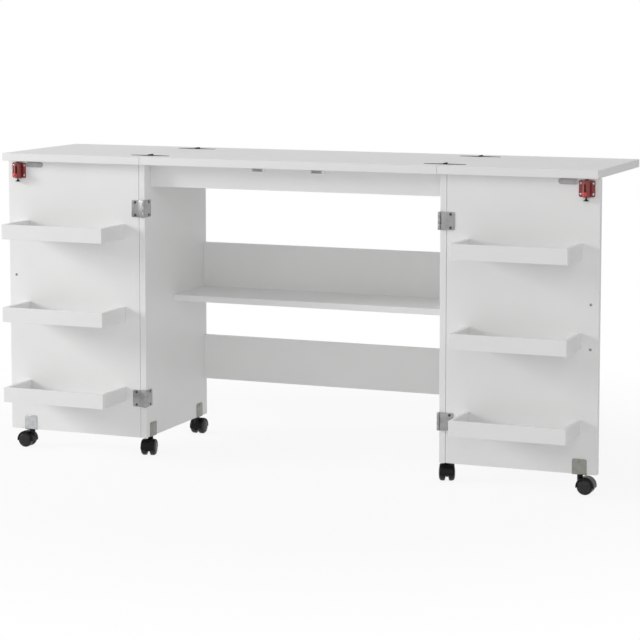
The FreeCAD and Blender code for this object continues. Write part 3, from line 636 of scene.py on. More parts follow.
FINISHES = {
    "laminate": (laminate_finish, "laminate", "face"),
    "hinge_steel": (plated_finish, "metal", "hinge", 0.38, (1, 1, 0.08)),
    # Straps: near-black, shaded as plastic without specular reflection.
    "strap_steel": (plastic_finish, "metal", "strap", 0.60, 0.0),
    "bracket_zinc": (plated_finish, "metal", "bracket", 0.42, (1, 1, 0.1)),
    # Lighter copy of the bracket zinc: a painted highlight on the left door's bracket.
    "bright_zinc": (plated_finish, "metal", "bright", 0.42, (1, 1, 0.1)),
    "screw_steel": (plated_finish, "metal", "screw", 0.26),
    # Painted reflection: the red housing's reflection is painted into the bolt's steel colour.
    "bolt_steel": (plated_finish, "metal", "bolt", 0.34),
    "dark_steel": (plated_finish, "metal", "dark", 0.34),
    "lock_red": (enamel_finish, "metal", "housing", 0.34),
    "knob_red": (enamel_finish, "metal", "knob", 0.28),
    "tip_black": (plastic_finish, "plastic", "tip", 0.38, 0.2),
    "hood_black": (plastic_finish, "plastic", "hood", 0.30, 0.14),
    "wheel_black": (plastic_finish, "plastic", "wheel", 0.22, 0.22),
    "magnet_grey": (plastic_finish, "plastic", "magnet", 0.55, 0.3),
    "catch_grey": (plastic_finish, "plastic", "catch", 0.45),
}


def finish(name):
    """The material of one of the table's finishes, made when it is first asked for."""
    known = bpy.data.materials.get(MATERIAL_PREFIX + name)
    if known:
        return known
    maker, group, key, *numbers = FINISHES[name]
    return maker(MATERIAL_PREFIX + name, tuple(getattr(settings(group), key)), *numbers)


# ---- Places ----

def hinge_heights(side):
    """The middle heights of a door's two hinges."""
    low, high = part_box(side + "_door_hinge_wings")
    half = settings("hinges").door_tall / 2
    return low.z + half, high.z - half


def leaf_hinge_places(side):
    """The middle depths of a leaf's two hinges."""
    low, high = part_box(side + "_leaf_hinge_straps")
    half = settings("hinges").strap_root / 2
    return low.y + half, high.y - half


def stretches(low, long):
    """The three knuckles of a barrel, as pairs of limits."""
    gap = settings("hinges").gap
    each = (long - 2 * gap) / 3
    return [(low + k * (each + gap), low + k * (each + gap) + each) for k in range(3)]


def caster_place(name):
    """The foot of a caster's stem on the floor, and the direction that its wheels trail in."""
    stem = np.array(JOINTS[name + "_caster_swivel"]["pos_m"]) * (1, 1, 0)
    axle = np.array(JOINTS[name + "_wheel_a_spin"]["pos_m"]) * (1, 1, 0)
    return stem, unit(axle - stem)


def screw_middles(low, high, pitch):
    """Two places an equal way from the middle of a pair of limits."""
    middle = (low + high) / 2
    return middle - pitch / 2, middle + pitch / 2


# ---- Pieces ----

# Small sizes in metres that follow from how sheet steel is cut and bent
SHEET_EASE = 0.00025    # rounding of a sheet's edges
TAB_EASE = 0.0002       # rounding of the tabs that join plates to knuckles
FINE_EASE = 0.0003      # rounding of thin plates' edges and of fine rims
BLOCK_EASE = 0.0004     # rounding of small solid blocks
BURIED = 0.0004         # how far a tab or a neck reaches into what it grows from
CRANK_OUT = 0.0046      # from a door hinge's pin to its crank's near end
CRANK_BACK = 0.0007     # from the crank's front to that end's middle
CRANK_BEND = 0.003      # radius of the crank's bends
CRANK_CLEAR = 0.0003    # play between the crank and the door's edge
CRANK_TAB = 0.0012      # from the pin to the foot of a moving wing's tab
WING_NEAR = 0.0041      # from the pin to a fixed wing's near edge
WING_TAB = 0.0015       # from the pin to the foot of a fixed wing's tab
STRAP_TAB = 0.0008      # from the pin to the foot of a strap's tab
STRAP_SCREWS = ((0.0125, -0.0085), (0.0125, 0.0085), (0.030, 0.0), (0.046, 0.0))  # out and aside
KNUCKLE_EASE = 0.14     # rounding of a knuckle's rims, as a share of its radius
PIN_LONG = 1.008        # a pin's length with its domed ends, as a share of its barrel's
DOOR_PIN_EASE = 0.0007  # rounding of a door hinge's pin
LEAF_PIN_EASE = 0.0005  # rounding of a leaf hinge's pin


def knuckle(start, end, radius):
    """Rings of one knuckle of a barrel."""
    return eased_rod(start, end, radius, radius * KNUCKLE_EASE)


def plate(start, end, across, half_width, thick, corner, ease=SHEET_EASE):
    """Rings of a flat plate whose far corners are rounded.

    half_width is a pair of lists: distances from the start, and half the plate's width at each of them.
    """
    start, end = np.asarray(start, float), np.asarray(end, float)
    long = np.linalg.norm(end - start)
    far = long - close_to_ends(long, corner)[::-1]
    far = np.unique(np.concatenate([far, half_width[0]]))
    width = np.interp(far, *half_width) - corner_loss(long - far, corner)
    path = start + unit(end - start) * far[:, None]
    return bar(path, across, width, thick / 2, ease)


def wing_ends(side):
    """Where a door's inner edge is, and the far edge of its hinges' moving wings."""
    inner, outer = (1, 0) if side == "left" else (0, 1)
    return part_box(side + "_door_panel")[inner].x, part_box(side + "_door_hinge_wings")[outer].x


def door_hinge_parts(side, moving):
    """Plates, tabs and knuckles of a side's two door hinges, either the moving wings or the fixed ones."""
    sizes = settings("hinges")
    sign = SIDES[side]
    axis = np.array(JOINTS[side + "_door_swing"]["pos_m"])
    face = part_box(side + "_door_panel")[0].y - sizes.sheet / 2
    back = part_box("door_hinge_fixed_wings")[1].y
    inner_edge, outer = wing_ends(side)
    parts = []
    for height in hinge_heights(side):
        knuckles = stretches(height - sizes.door_tall / 2, sizes.door_tall)
        chosen = (knuckles[0], knuckles[2]) if moving else (knuckles[1],)
        if moving:
            crank_y = face + sizes.sheet / 2 - sizes.crank
            near = np.array([axis[0] + sign * CRANK_OUT, crank_y + CRANK_BACK, height])
            bend = np.array([inner_edge + sign * CRANK_CLEAR, face, height])
            tip = np.array([outer, face, height])
            path = filleted([near, bend, tip], CRANK_BEND, 5, closed=False)
            long = path_length(path)
            far = long - close_to_ends(long, sizes.corner, 5, 12)[::-1]
            width = sizes.door_tall / 2 - corner_loss(long - far, sizes.corner)
            parts.append(bar(walked(path, far), Z_AXIS, width, sizes.sheet / 2, SHEET_EASE))
            tab_from = near + X_AXIS * sign * BURIED
            tab_to = np.array([axis[0] + sign * CRANK_TAB, crank_y, height])
        else:
            x = axis[0] - sign * sizes.sheet / 2
            near = np.array([x, axis[1] + WING_NEAR, height])
            tip = np.array([x, back, height])
            half = ([0.0], [sizes.door_tall / 2])
            parts.append(plate(near, tip, Z_AXIS, half, sizes.sheet, sizes.corner))
            tab_from = near + Y_AXIS * BURIED
            tab_to = np.array([x, axis[1] + WING_TAB, height])
        for low, high in chosen:
            rise = Z_AXIS * ((low + high) / 2 - height)
            tab = np.linspace(tab_from, tab_to, 3) + rise
            parts.append(bar(tab, Z_AXIS, (high - low) / 2, sizes.sheet / 2, TAB_EASE))
            parts.append(knuckle((*axis[:2], low), (*axis[:2], high), sizes.door_knuckle))
    return [("hinge_steel", part) for part in parts]


def leaf_strap_parts(side, moving):
    """Straps let in flush, knuckles and flush screws of a side's two leaf hinges."""
    sizes, fittings = settings("hinges"), settings("fittings")
    axis = np.array(JOINTS[side + "_leaf_fold"]["pos_m"])
    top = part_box(side + "_leaf")[1].z
    out = SIDES[side] if moving else -SIDES[side]
    far = np.array([sizes.strap_start, sizes.shoulder, sizes.strap_long]) - sizes.strap_start
    halves = (far, np.array([sizes.strap_root, sizes.strap_root, sizes.strap_tip]) / 2)
    parts, screws = [], []
    for middle in leaf_hinge_places(side):
        knuckles = stretches(middle - sizes.strap_root / 2, sizes.strap_root)
        chosen = (knuckles[1],) if moving else (knuckles[0], knuckles[2])
        seam = np.array([axis[0], middle, top - sizes.sheet / 2])
        near = seam + X_AXIS * out * sizes.strap_start
        tip = seam + X_AXIS * out * sizes.strap_long
        parts.append(plate(near, tip, Y_AXIS, halves, sizes.sheet, sizes.corner))
        for low, high in chosen:
            reach = np.array([sizes.strap_start + BURIED, sizes.leaf_knuckle, STRAP_TAB])[:, None]
            tab = np.array([axis[0], (low + high) / 2, seam[2]]) + X_AXIS * out * reach
            parts.append(bar(tab, Y_AXIS, (high - low) / 2, sizes.sheet / 2, TAB_EASE))
            ends = [np.array([axis[0], y, axis[2]]) for y in (low, high)]
            parts.append(knuckle(ends[0], ends[1], sizes.leaf_knuckle))
        for reach, aside in STRAP_SCREWS:
            seat = np.array([axis[0] + out * reach, middle + aside, top])
            screws.append(slotted_head(seat, Z_AXIS, fittings.flush_head, fittings.flush_rise))
    return [("strap_steel", part) for part in parts + screws]


def pin_parts():
    """The domed pins of all eight hinges."""
    sizes = settings("hinges")
    parts = []
    for side in SIDES:
        x, y, _ = JOINTS[side + "_door_swing"]["pos_m"]
        for height in hinge_heights(side):
            ends = [(x, y, height + rise * sizes.door_tall / 2) for rise in (-PIN_LONG, PIN_LONG)]
            parts.append(eased_rod(ends[0], ends[1], sizes.door_pin, DOOR_PIN_EASE, 20))
        x, _, z = JOINTS[side + "_leaf_fold"]["pos_m"]
        for middle in leaf_hinge_places(side):
            ends = [(x, middle + rise * sizes.strap_root / 2, z) for rise in (-PIN_LONG, PIN_LONG)]
            parts.append(eased_rod(ends[0], ends[1], sizes.leaf_pin, LEAF_PIN_EASE, 20))
    return [("screw_steel", part) for part in parts]


LOCK_RIM = 0.0006       # rounding of a barrel's rims
LOCK_STEP = 0.0003      # height of the step between a barrel's two bores
LOCK_SPOTS = 29         # columns of points round a barrel
SLOT_SPOT = 5 / 14      # share of those columns that lies inside the slot
BARREL_BACK = 0.0002    # play between the barrel's flanks and the door


def lock_barrel(side):
    """The barrel of a lock: walls between an outer and a bored inner U, slotted in front.

    Along the grid's columns the U runs down one flank, round the front and up the other. Angles are
    spaced evenly inside the slot and evenly beside it, so that the slot's borders stay at one x.
    """
    sizes = settings("locks")
    low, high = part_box(side + "_door_lock_housing")
    middle_x = (low.x + high.x) / 2
    axis_y = low.y + sizes.barrel
    slot_low, slot_high = low.z + sizes.slot_low, high.z - sizes.slot_high
    step = low.z + sizes.throat_tall
    heights = np.array([low.z, low.z + LOCK_RIM, slot_low, (slot_low + step) / 2, step, step + LOCK_STEP,
                        (step + slot_high) / 2, slot_high, high.z - LOCK_RIM, high.z])
    bore = np.where(heights <= step, sizes.throat, sizes.bolt + sizes.bore_play)
    rim = np.where((heights == low.z) | (heights == high.z), LOCK_RIM, 0)
    spots = np.linspace(-1, 1, LOCK_SPOTS)
    grids = []
    for radius in (sizes.barrel - rim, bore):
        radius = radius[:, None]
        edge = np.arcsin(sizes.slot / 2 / radius)
        inside = spots / SLOT_SPOT * edge
        beside = edge + (abs(spots) - SLOT_SPOT) / (1 - SLOT_SPOT) * (math.pi / 2 - edge)
        angle = np.where(abs(spots) <= SLOT_SPOT + 1e-9, inside, np.sign(spots) * beside)
        x = middle_x + radius * np.sin(angle)
        y = axis_y - radius * np.cos(angle)
        flank = np.full((len(heights), 1), high.y - BARREL_BACK)
        x = np.concatenate([x[:, :1], x, x[:, -1:]], axis=1)
        y = np.concatenate([flank, y, flank], axis=1)
        grids.append(np.stack([x, y, np.broadcast_to(heights[:, None], x.shape)], axis=-1))
    between_z = (heights[1:] + heights[:-1]) / 2
    between_spot = np.concatenate([[-2], (spots[1:] + spots[:-1]) / 2, [2]])
    in_slot = (between_z > slot_low) & (between_z < slot_high)
    kept = ~(in_slot[:, None] & (abs(between_spot) < SLOT_SPOT))
    return walls(grids[0], grids[1], kept)


FLANGE_EASE = 0.0007    # rounding of a flange's edges
BEHIND_REACH = 0.0005   # how far the part behind the barrel reaches under the flange's sides


def lock_housing_parts(side):
    """Barrel of a lock, the flange beside it, and the flange behind it above the wide bore."""
    sizes = settings("locks")
    low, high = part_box(side + "_door_lock_housing")
    middle = np.array([(low.x + high.x) / 2, high.y, (low.z + high.z) / 2])
    half_wide, half_tall = (high.x - low.x) / 2, (high.z - low.z) / 2
    parts = [lock_barrel(side)]
    for hand in (-1, 1):
        inner, outer = hand * sizes.throat, hand * half_wide
        corners = [(inner, -hand * half_tall), (outer, -hand * half_tall), (outer, hand * half_tall),
                   (inner, hand * half_tall)]
        outline = filleted(corners, (FINE_EASE, sizes.corner, sizes.corner, FINE_EASE), 5)
        parts.append(slab(outline, middle, (X_AXIS, Z_AXIS, -Y_AXIS), sizes.flange, FLANGE_EASE))
    reach = sizes.throat + BEHIND_REACH
    behind_low = np.array([middle[0] - reach, high.y - sizes.flange, low.z + sizes.throat_tall])
    behind_high = np.array([middle[0] + reach, high.y, high.z])
    parts.append(block(behind_low, behind_high, FINE_EASE))
    return [("lock_red", part) for part in parts]


BOLT_EASE = 0.0006      # rounding of a bolt's foot, and play before its knob's collar
BOLT_NOSE = 0.0020      # rounding of its nose
TIP_DISC = 0.0010       # height of the disc under a tip's flare
TIP_FLARE = (0.0026, 0.0030)  # height and radius where the flare is hollowed out
TIP_COLLAR = 0.0024     # radius of the tip's collar
TIP_ROUNDING = (0.0004, 0.0004, 0.0012, 0.0003)  # of its profile's corners in turn
COLLAR_SHARE = 1.45     # radius of the knob's collar, as a share of its neck's
BALL_END = 0.001        # angle that is left open at the ball's two poles


def bolt_parts(side):
    """Bolt with its rounded nose, the neck and flared tip under it, and the ball knob in front.

    The tip's profile is a disc, a hollow flare and a collar. The ball is a half circle of angles t, at
    -knob * cos t along the way to the front and knob * sin t from it.
    """
    sizes = settings("locks")
    low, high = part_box(side + "_lock_bolt")
    housing_low, housing_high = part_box(side + "_door_lock_housing")
    x = (housing_low.x + housing_high.x) / 2
    y = housing_low.y + sizes.barrel
    foot = low.z + sizes.tip_tall + sizes.neck_tall
    shaft = [(0, 0), (0, sizes.bolt), (high.z - foot, sizes.bolt), (high.z - foot, 0)]
    shaft = filleted(shaft, (BOLT_EASE, BOLT_NOSE), 5, closed=False)
    tip = [(0, 0), (0, sizes.tip), (TIP_DISC, sizes.tip), TIP_FLARE, (sizes.tip_tall, TIP_COLLAR),
           (sizes.tip_tall, 0)]
    tip = filleted(tip, TIP_ROUNDING, 4, closed=False)
    neck = [(sizes.tip_tall - BURIED, sizes.neck), (foot - low.z + BURIED, sizes.neck)]
    knob_y = low.y + sizes.knob - sizes.knob_out
    knob_z = foot + sizes.knob_rise
    turn = np.linspace(BALL_END, math.pi - BALL_END, 25)
    ball = np.stack([-sizes.knob * np.cos(turn), sizes.knob * np.sin(turn)], axis=1)
    arm_start, arm_end = (x, y, knob_z), (x, knob_y, knob_z)
    collar = (x, housing_low.y - BOLT_EASE, knob_z)
    return [
        # The shaft's warm colour paints the red housing's reflection on it.
        ("bolt_steel", turned((x, y, foot), Z_AXIS, shaft)),
        ("tip_black", turned((x, y, low.z), Z_AXIS, tip)),
        ("tip_black", turned((x, y, low.z), Z_AXIS, neck, 20)),
        ("screw_steel", eased_rod(arm_start, arm_end, sizes.neck, FINE_EASE, 20)),
        ("knob_red", eased_rod(collar, arm_end, sizes.neck * COLLAR_SHARE, BLOCK_EASE, 24)),
        ("knob_red", turned((x, knob_y, knob_z), -Y_AXIS, ball)),
    ]


def strike_parts(side):
    """A strike plate with half-round ends."""
    low, high = (np.array(corner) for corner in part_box(side + "_door_strike_plate"))
    half = (high[2] - low[2]) / 2
    middle = (low + high) / 2
    long = high[0] - low[0]
    far = close_to_ends(long, half, 10)
    width = half - corner_loss(far, half) - corner_loss(long - far, half)
    path = np.array([low[0], middle[1], middle[2]]) + X_AXIS * far[:, None]
    return [("hinge_steel", bar(path, Z_AXIS, width, (high[1] - low[1]) / 2, FINE_EASE))]


CASING_EASE = 0.0012    # rounding of a catch's casing
POLE_IN = 0.003         # from the casing's ends to the pole plates
POLE_RISE = 0.0025      # from the casing's foot and top to the pole plates
POLE_DEEP = 0.004       # depth of the pole plates
MAGNET_BACK = 0.0008    # how far the magnet stands behind the plates' front


def catch_parts():
    """The casings of the magnetic catches, with a magnet between two pole plates."""
    sizes = settings("fittings")
    low, high = (np.array(corner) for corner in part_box("magnetic_catches"))
    parts = []
    for sign in SIDES.values():
        middle = sign * (high[0] - sizes.catch_long / 2)
        left, right = middle - sizes.catch_long / 2, middle + sizes.catch_long / 2
        casing_low = (left, low[1] + sizes.pole_out, low[2])
        parts.append(("catch_grey", block(casing_low, (right, high[1], high[2]), CASING_EASE)))
        magnet_low = (left + 2 * POLE_IN, low[1] + MAGNET_BACK, low[2] + POLE_IN)
        magnet_high = (right - 2 * POLE_IN, low[1] + POLE_DEEP, high[2] - POLE_IN)
        parts.append(("magnet_grey", block(magnet_low, magnet_high, BLOCK_EASE)))
        for foot in (low[2] + POLE_RISE, high[2] - POLE_RISE - sizes.pole_thick):
            pole_low = (left + POLE_IN, low[1], foot)
            pole_high = (right - POLE_IN, low[1] + POLE_DEEP, foot + sizes.pole_thick)
            parts.append(("hinge_steel", block(pole_low, pole_high, BLOCK_EASE)))
    return parts


BOW_PLAIN = 0.010       # length of a bow's feet before it thins
BOW_THINS = 0.026       # length over which it thins
BOW_EASE = 0.0018       # rounding of its edges
ROSETTE = 0.0012        # height of the round collars at its feet
ROSETTE_SHARE = 0.99    # their radius, as a share of half the foot's thickness


def handle_parts(side):
    """A bow whose strap thins from its feet to its crown as a smooth step of the distance from the feet."""
    sizes = settings("fittings")
    low, high = (np.array(corner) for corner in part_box(side + "_door_handle"))
    x = (low[0] + high[0]) / 2
    foot, strap = sizes.handle_foot / 2, sizes.handle_strap / 2
    crown = high[1] - strap
    ends = [(x, low[1], low[2] + foot), (x, crown, low[2] + foot), (x, crown, high[2] - foot),
            (x, low[1], high[2] - foot)]
    path = filleted(ends, sizes.handle_bend, 12, closed=False)
    long = path_length(path)
    far = np.linspace(0, long, 90)
    from_end = np.clip((np.minimum(far, long - far) - BOW_PLAIN) / BOW_THINS, 0, 1)
    thick = foot + (strap - foot) * from_end ** 2 * (3 - 2 * from_end)
    rings = bar(walked(path, far), X_AXIS, sizes.handle_wide / 2, thick, BOW_EASE)
    rosettes = [eased_rod((x, low[1], z), (x, low[1] + ROSETTE, z), foot * ROSETTE_SHARE, BLOCK_EASE)
                for z in (low[2] + foot, high[2] - foot)]
    return [("bracket_zinc", part) for part in [rings] + rosettes]


# The left door's bracket stands for all six in width, depth and height
BRACKET_LOW, BRACKET_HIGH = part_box("left_door_caster_bracket")
BRACKET_WIDE, BRACKET_DEEP, _ = BRACKET_HIGH - BRACKET_LOW
SADDLE_BEND = 1.2       # radius of a saddle's bends, in thicknesses of its steel


def bracket_finish(name):
    """The finish of a caster's bracket, with a lighter colour on the left door's that paints the side lamp's
    highlight on it.
    """
    return "bright_zinc" if name == "left_door" else "bracket_zinc"


def bracket_parts(name):
    """A steel saddle bent under the board that a caster carries."""
    sizes = settings("fittings")
    stem, _ = caster_place(name)
    on_door = name in DOOR_CASTERS
    box_low, box_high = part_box(name + "_caster_bracket" if on_door else "cabinet_caster_brackets")
    if on_door:
        along, through = X_AXIS, Y_AXIS
        half_wide = (box_high.x - box_low.x) / 2
        half_deep = (box_high.y - box_low.y) / 2
    else:
        along, through = Y_AXIS, X_AXIS
        half_deep = box_high.x - abs(stem[0])
        half_wide = half_deep + (BRACKET_WIDE - BRACKET_DEEP) / 2
    steel = sizes.bracket_steel
    cheek = half_deep - steel / 2
    low = box_low.z + steel / 2
    corners = [(-cheek, box_high.z), (-cheek, low), (cheek, low), (cheek, box_high.z)]
    path = np.array([stem + through * t + Z_AXIS * z for t, z in corners])
    path = filleted(path, steel * SADDLE_BEND, 5, closed=False)
    long = path_length(path)
    bends = lengths_along(path)[1:-1]
    far = np.unique(np.concatenate([close_to_ends(long, sizes.bracket_corner, 8), bends]))
    loss = corner_loss(far, sizes.bracket_corner) + corner_loss(long - far, sizes.bracket_corner)
    return [(bracket_finish(name), bar(walked(path, far), along, half_wide - loss, steel / 2, FINE_EASE))]


def set_down(rings, name):
    """Rings drawn round the stem with the wheels trailing along +X, set down at a caster's place."""
    stem, trail = caster_place(name)
    axes = np.array([trail, np.cross(Z_AXIS, trail), Z_AXIS])
    return rings @ axes + stem


def wheel_axle(name):
    """The middle of a caster's axle, drawn round the stem with the wheels trailing along +X."""
    swivel, spin = JOINTS[name + "_caster_swivel"], JOINTS[name + "_wheel_a_spin"]
    trail = np.linalg.norm(np.subtract(spin["pos_m"][:2], swivel["pos_m"][:2]))
    return np.array([trail, 0, settings("casters").wheel])


HOOD_CORNER = 0.0035    # radius of the hood's lower corners
HOOD_STEPS = (49, 37)   # points along the hood's arc and across it
INNER_FLAT = 1.12       # how much wider the plain round is on the hood's inside
BOSS_FOOT = (0.05, 0.5, 0.8)  # circles of the boss's foot, as shares of its radius
BOSS_EASE = 0.0012      # rounding of the boss's rim


def domed_wall(axle, middle, edge, flat):
    """A grid of points on one side of the hood, rows along its arc and columns across it.

    At a distance y from the middle plane the radius is edge + (middle - edge) * sqrt(1 - s^2), where s grows
    evenly from 0 at flat to 1 at the border. The arc runs from droop below the axle on the trailing side
    over the top to droop below it on the leading side, less the quarter round of its corners.
    """
    sizes = settings("casters")
    y = sizes.half * np.sin(np.linspace(-1, 1, HOOD_STEPS[1]) * math.pi / 2)
    s = np.clip((abs(y) - flat) / (sizes.half - flat), 0, 1)
    radius = edge + (middle - edge) * np.sqrt(1 - s ** 2)
    loss = corner_loss(sizes.half - abs(y), HOOD_CORNER) / middle - sizes.droop
    turn = loss + np.linspace(0, 1, HOOD_STEPS[0])[:, None] * (math.pi - 2 * loss)
    across = np.broadcast_to(y, turn.shape)
    return axle + np.stack([radius * np.cos(turn), across, radius * np.sin(turn)], axis=-1)


def hood_parts(name):
    """Domed hood, web and boss of a caster.

    The web is a plate of the hood's radius above, narrowed to the hub below. The boss is a stack of circles
    round the stem, and its lowest ones follow the hood, whose height at x is that of a circle on the axle.
    """
    sizes = settings("casters")
    axle = wheel_axle(name)
    outside = set_down(domed_wall(axle, sizes.hood, sizes.hood_edge, sizes.flat), name)
    inside = set_down(domed_wall(axle, sizes.room, sizes.room_edge, sizes.flat * INNER_FLAT), name)
    shell = walls(outside, inside, np.ones((outside.shape[0] - 1, outside.shape[1] - 1), bool))

    buried = (sizes.hood + sizes.room) / 2
    over = np.linspace(-sizes.droop, math.pi + sizes.droop, 45)[:, None]
    under = np.linspace(math.pi + sizes.droop, 2 * math.pi - sizes.droop, 25)[:, None]
    outline = np.concatenate([radius * np.concatenate([np.cos(turn), np.sin(turn)], axis=1)
                              for radius, turn in ((buried, over), (sizes.hub, under))])
    web = slab(outline, axle - Y_AXIS * sizes.web, (X_AXIS, Z_AXIS, Y_AXIS), 2 * sizes.web, BLOCK_EASE)

    profile = [(0, sizes.boss), (sizes.top, sizes.boss), (sizes.top, 0)]
    profile = filleted(profile, BOSS_EASE, 4, closed=False)
    foot = np.array([(0, radius * sizes.boss) for radius in BOSS_FOOT])
    boss = turned((0, 0, 0), Z_AXIS, np.concatenate([foot, profile]))
    on_hood = len(BOSS_FOOT) + 1
    drop = axle[0] - boss[:on_hood, :, 0]
    boss[:on_hood, :, 2] = axle[2] + np.sqrt(np.clip(buried ** 2 - drop ** 2, 0, None))
    return [("hood_black", part) for part in (shell, set_down(web, name), set_down(boss, name))]


STEM_HEIGHTS = (0.040, 0.066, 0.0685, 0.075)  # foot, groove's two borders and top, over the floor
STEM_GROOVE = 0.0032    # radius in the groove
STEM_EASE = 0.0005      # rounding of all its rims


def stem_parts(name):
    """The steel stem with its ring groove."""
    sizes = settings("casters")
    foot, groove_low, groove_high, top = STEM_HEIGHTS
    profile = [(foot, 0), (foot, sizes.stem), (groove_low, sizes.stem), (groove_low, STEM_GROOVE),
               (groove_high, STEM_GROOVE), (groove_high, sizes.stem), (top, sizes.stem), (top, 0)]
    profile = filleted(profile, STEM_EASE, 3, closed=False)
    return [("screw_steel", set_down(turned((0, 0, 0), Z_AXIS, profile, 28), name))]


WHEEL_INSIDE = ((0.0005, 0.0), (0.0005, 0.0072), (0.0, 0.0078), (0.0, 0.0116))  # sunk hub and rim
TREAD = (0.0026, 0.0117)  # where the tread starts and ends, from the inner face
TREAD_DROP = 0.0030     # how much smaller the outer shoulder ends
CAP_RISE = 0.0023       # height of the cap's dome
CAP_START = 0.12        # angle where the dome starts, past its foot
CAP_GROOVE = (0.0006, 0.0002, 0.0008)  # outer and inner border past the cap, and depth
WHEEL_ROUNDING = (0.0003, 0.0003, 0.0010, 0.0020, 0.0050, 0.0003, 0.0002, 0.0002)  # corners in turn


def wheel_parts(name, hand):
    """A wheel: a sunk hub, a rim that slopes to the tread, the tread, a groove, and a cap.

    The cap is a quarter ellipse turned about the axle: at its angle t it lies CAP_RISE * sin t out and
    cap * cos t from the axle.
    """
    sizes = settings("casters")
    radius, thick, cap = sizes.wheel, sizes.thick, sizes.cap
    foot = thick - CAP_RISE
    outer, inner, deep = CAP_GROOVE
    profile = [
        *WHEEL_INSIDE, (TREAD[0], radius), (TREAD[1], radius), (foot, radius - TREAD_DROP),
        (foot, cap + outer), (foot - deep, cap + inner), (foot, cap),
    ]
    profile = filleted(profile, WHEEL_ROUNDING, 4, closed=False)
    turn = np.linspace(CAP_START, math.pi / 2, 16)
    dome = np.stack([foot + CAP_RISE * np.sin(turn), cap * np.cos(turn)], axis=1)
    start = wheel_axle(name) + Y_AXIS * hand * sizes.inner
    rings = turned(start, Y_AXIS * hand, np.concatenate([profile, dome]), 72)
    return [("wheel_black", set_down(rings, name))]


def head_parts(seats, radius, rise):
    """Cross-slotted heads on seats, each given as a point, the way that it faces and a finish."""
    return [(finish_name, slotted_head(seat, way, radius, rise)) for seat, way, finish_name in seats]


def bracket_seats(name):
    """Where the screws sit on a caster bracket's two cheeks."""
    sizes = settings("fittings")
    stem, _ = caster_place(name)
    through = Y_AXIS if name in DOOR_CASTERS else X_AXIS
    spot = stem + Z_AXIS * (BRACKET_HIGH.z - sizes.bracket_screw)
    return [(spot + through * way * BRACKET_DEEP / 2, through * way, bracket_finish(name)) for way in (-1, 1)]


def door_seats(side):
    """Where the raised screws of a door's hinges, handle and bracket sit."""
    hinges = settings("hinges")
    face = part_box(side + "_door_panel")[0].y
    seats = bracket_seats(side + "_door")
    middle = sum(wing_ends(side)) / 2
    for height in hinge_heights(side):
        for z in screw_middles(height, height, hinges.door_pitch):
            seats.append(((middle, face - hinges.sheet, z), -Y_AXIS, "dark_steel"))
    low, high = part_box(side + "_door_handle")
    foot = settings("fittings").handle_foot / 2
    for z in (low.z + foot, high.z - foot):
        seats.append((((low.x + high.x) / 2, face, z), -Y_AXIS, "hinge_steel"))
    return seats


def lock_seats(side):
    """Where the four screws of a lock's flange sit."""
    sizes = settings("locks")
    low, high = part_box(side + "_door_lock_housing")
    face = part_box(side + "_door_panel")[0].y - sizes.flange
    return [((x, face, z), -Y_AXIS, "screw_steel") for x in screw_middles(low.x, high.x, sizes.pitch_x)
            for z in screw_middles(low.z, high.z, sizes.pitch_z)]


def strike_seats(side):
    """Where the flush screws of a strike plate sit."""
    sizes = settings("fittings")
    low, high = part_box(side + "_door_strike_plate")
    places = screw_middles(low.x, high.x, sizes.strike_pitch)
    return [((x, low.y, (low.z + high.z) / 2), -Y_AXIS, "hinge_steel") for x in places]


def cabinet_seats():
    """Where the screws of the fixed wings and of the cabinet's caster brackets sit."""
    sizes = settings("hinges")
    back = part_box("door_hinge_fixed_wings")[1].y - sizes.fixed_inset
    seats = [seat for name in CABINET_CASTERS for seat in bracket_seats(name)]
    for side, sign in SIDES.items():
        x = JOINTS[side + "_door_swing"]["pos_m"][0] - sign * sizes.sheet
        for height in hinge_heights(side):
            for z in screw_middles(height, height, sizes.door_pitch):
                seats.append(((x, back, z), -X_AXIS * sign, "dark_steel"))
    return seats


CAM_INSET = 0.034       # from a board's ends to its cams
CAM_DEPTH = 0.045       # from the shelf's edges to its cams
CAM_RISE = 0.0006       # height of a cam's cap


def cam_parts():
    """Caps of the cam fittings that draw rails, shelf and back boards to the side panels."""
    sizes = settings("fittings")
    seats = []
    for board, faces in (("front_rail", "back"), ("rear_rail", "front"), ("shelf", "under"),
                         ("upper_back_board", "back"), ("lower_back_board", "back")):
        low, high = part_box(board)
        middle = (low.z + high.z) / 2
        for x in (low.x + CAM_INSET, high.x - CAM_INSET):
            if faces == "under":
                seats += [((x, y, low.z), -Z_AXIS) for y in (low.y + CAM_DEPTH, high.y - CAM_DEPTH)]
            elif faces == "back":
                seats.append(((x, high.y, middle), Y_AXIS))
            else:
                seats.append(((x, low.y, middle), -Y_AXIS))
    return [("bracket_zinc", slotted_head(seat, way, sizes.cam, CAM_RISE, 0.10, 0.9)) for seat, way in seats]


# ---- Operators ----

class SEWING_TABLE_OT_boards(bpy.types.Operator):
    """Gives the boards and trays their laminate"""
    bl_idname = "sewing_table.boards"
    bl_label = "Boards and trays"

    def execute(self, context):
        nodes = BOARDS + [side + "_door_" + board for side in SIDES for board in DOOR_BOARDS]
        for node in nodes:
            for place in frame["nodes"][node].material_slots:
                place.material = finish("laminate")
        return {"FINISHED"}


class SEWING_TABLE_OT_door_hinges(bpy.types.Operator):
    """Builds the four door hinges, and the pins of all hinges"""
    bl_idname = "sewing_table.door_hinges"
    bl_label = "Door hinges"

    def execute(self, context):
        fixed = [part for side in SIDES for part in door_hinge_parts(side, moving=False)]
        piece("fixed_wings", fixed, "cabinet", ["door_hinge_fixed_wings"])
        piece("pins", pin_parts(), "cabinet", ["hinge_pins"])
        for side in SIDES:
            door = side + "_door"
            piece(door + "_wings", door_hinge_parts(side, moving=True), door,
                  [door + "_hinge_wings"])
        return {"FINISHED"}


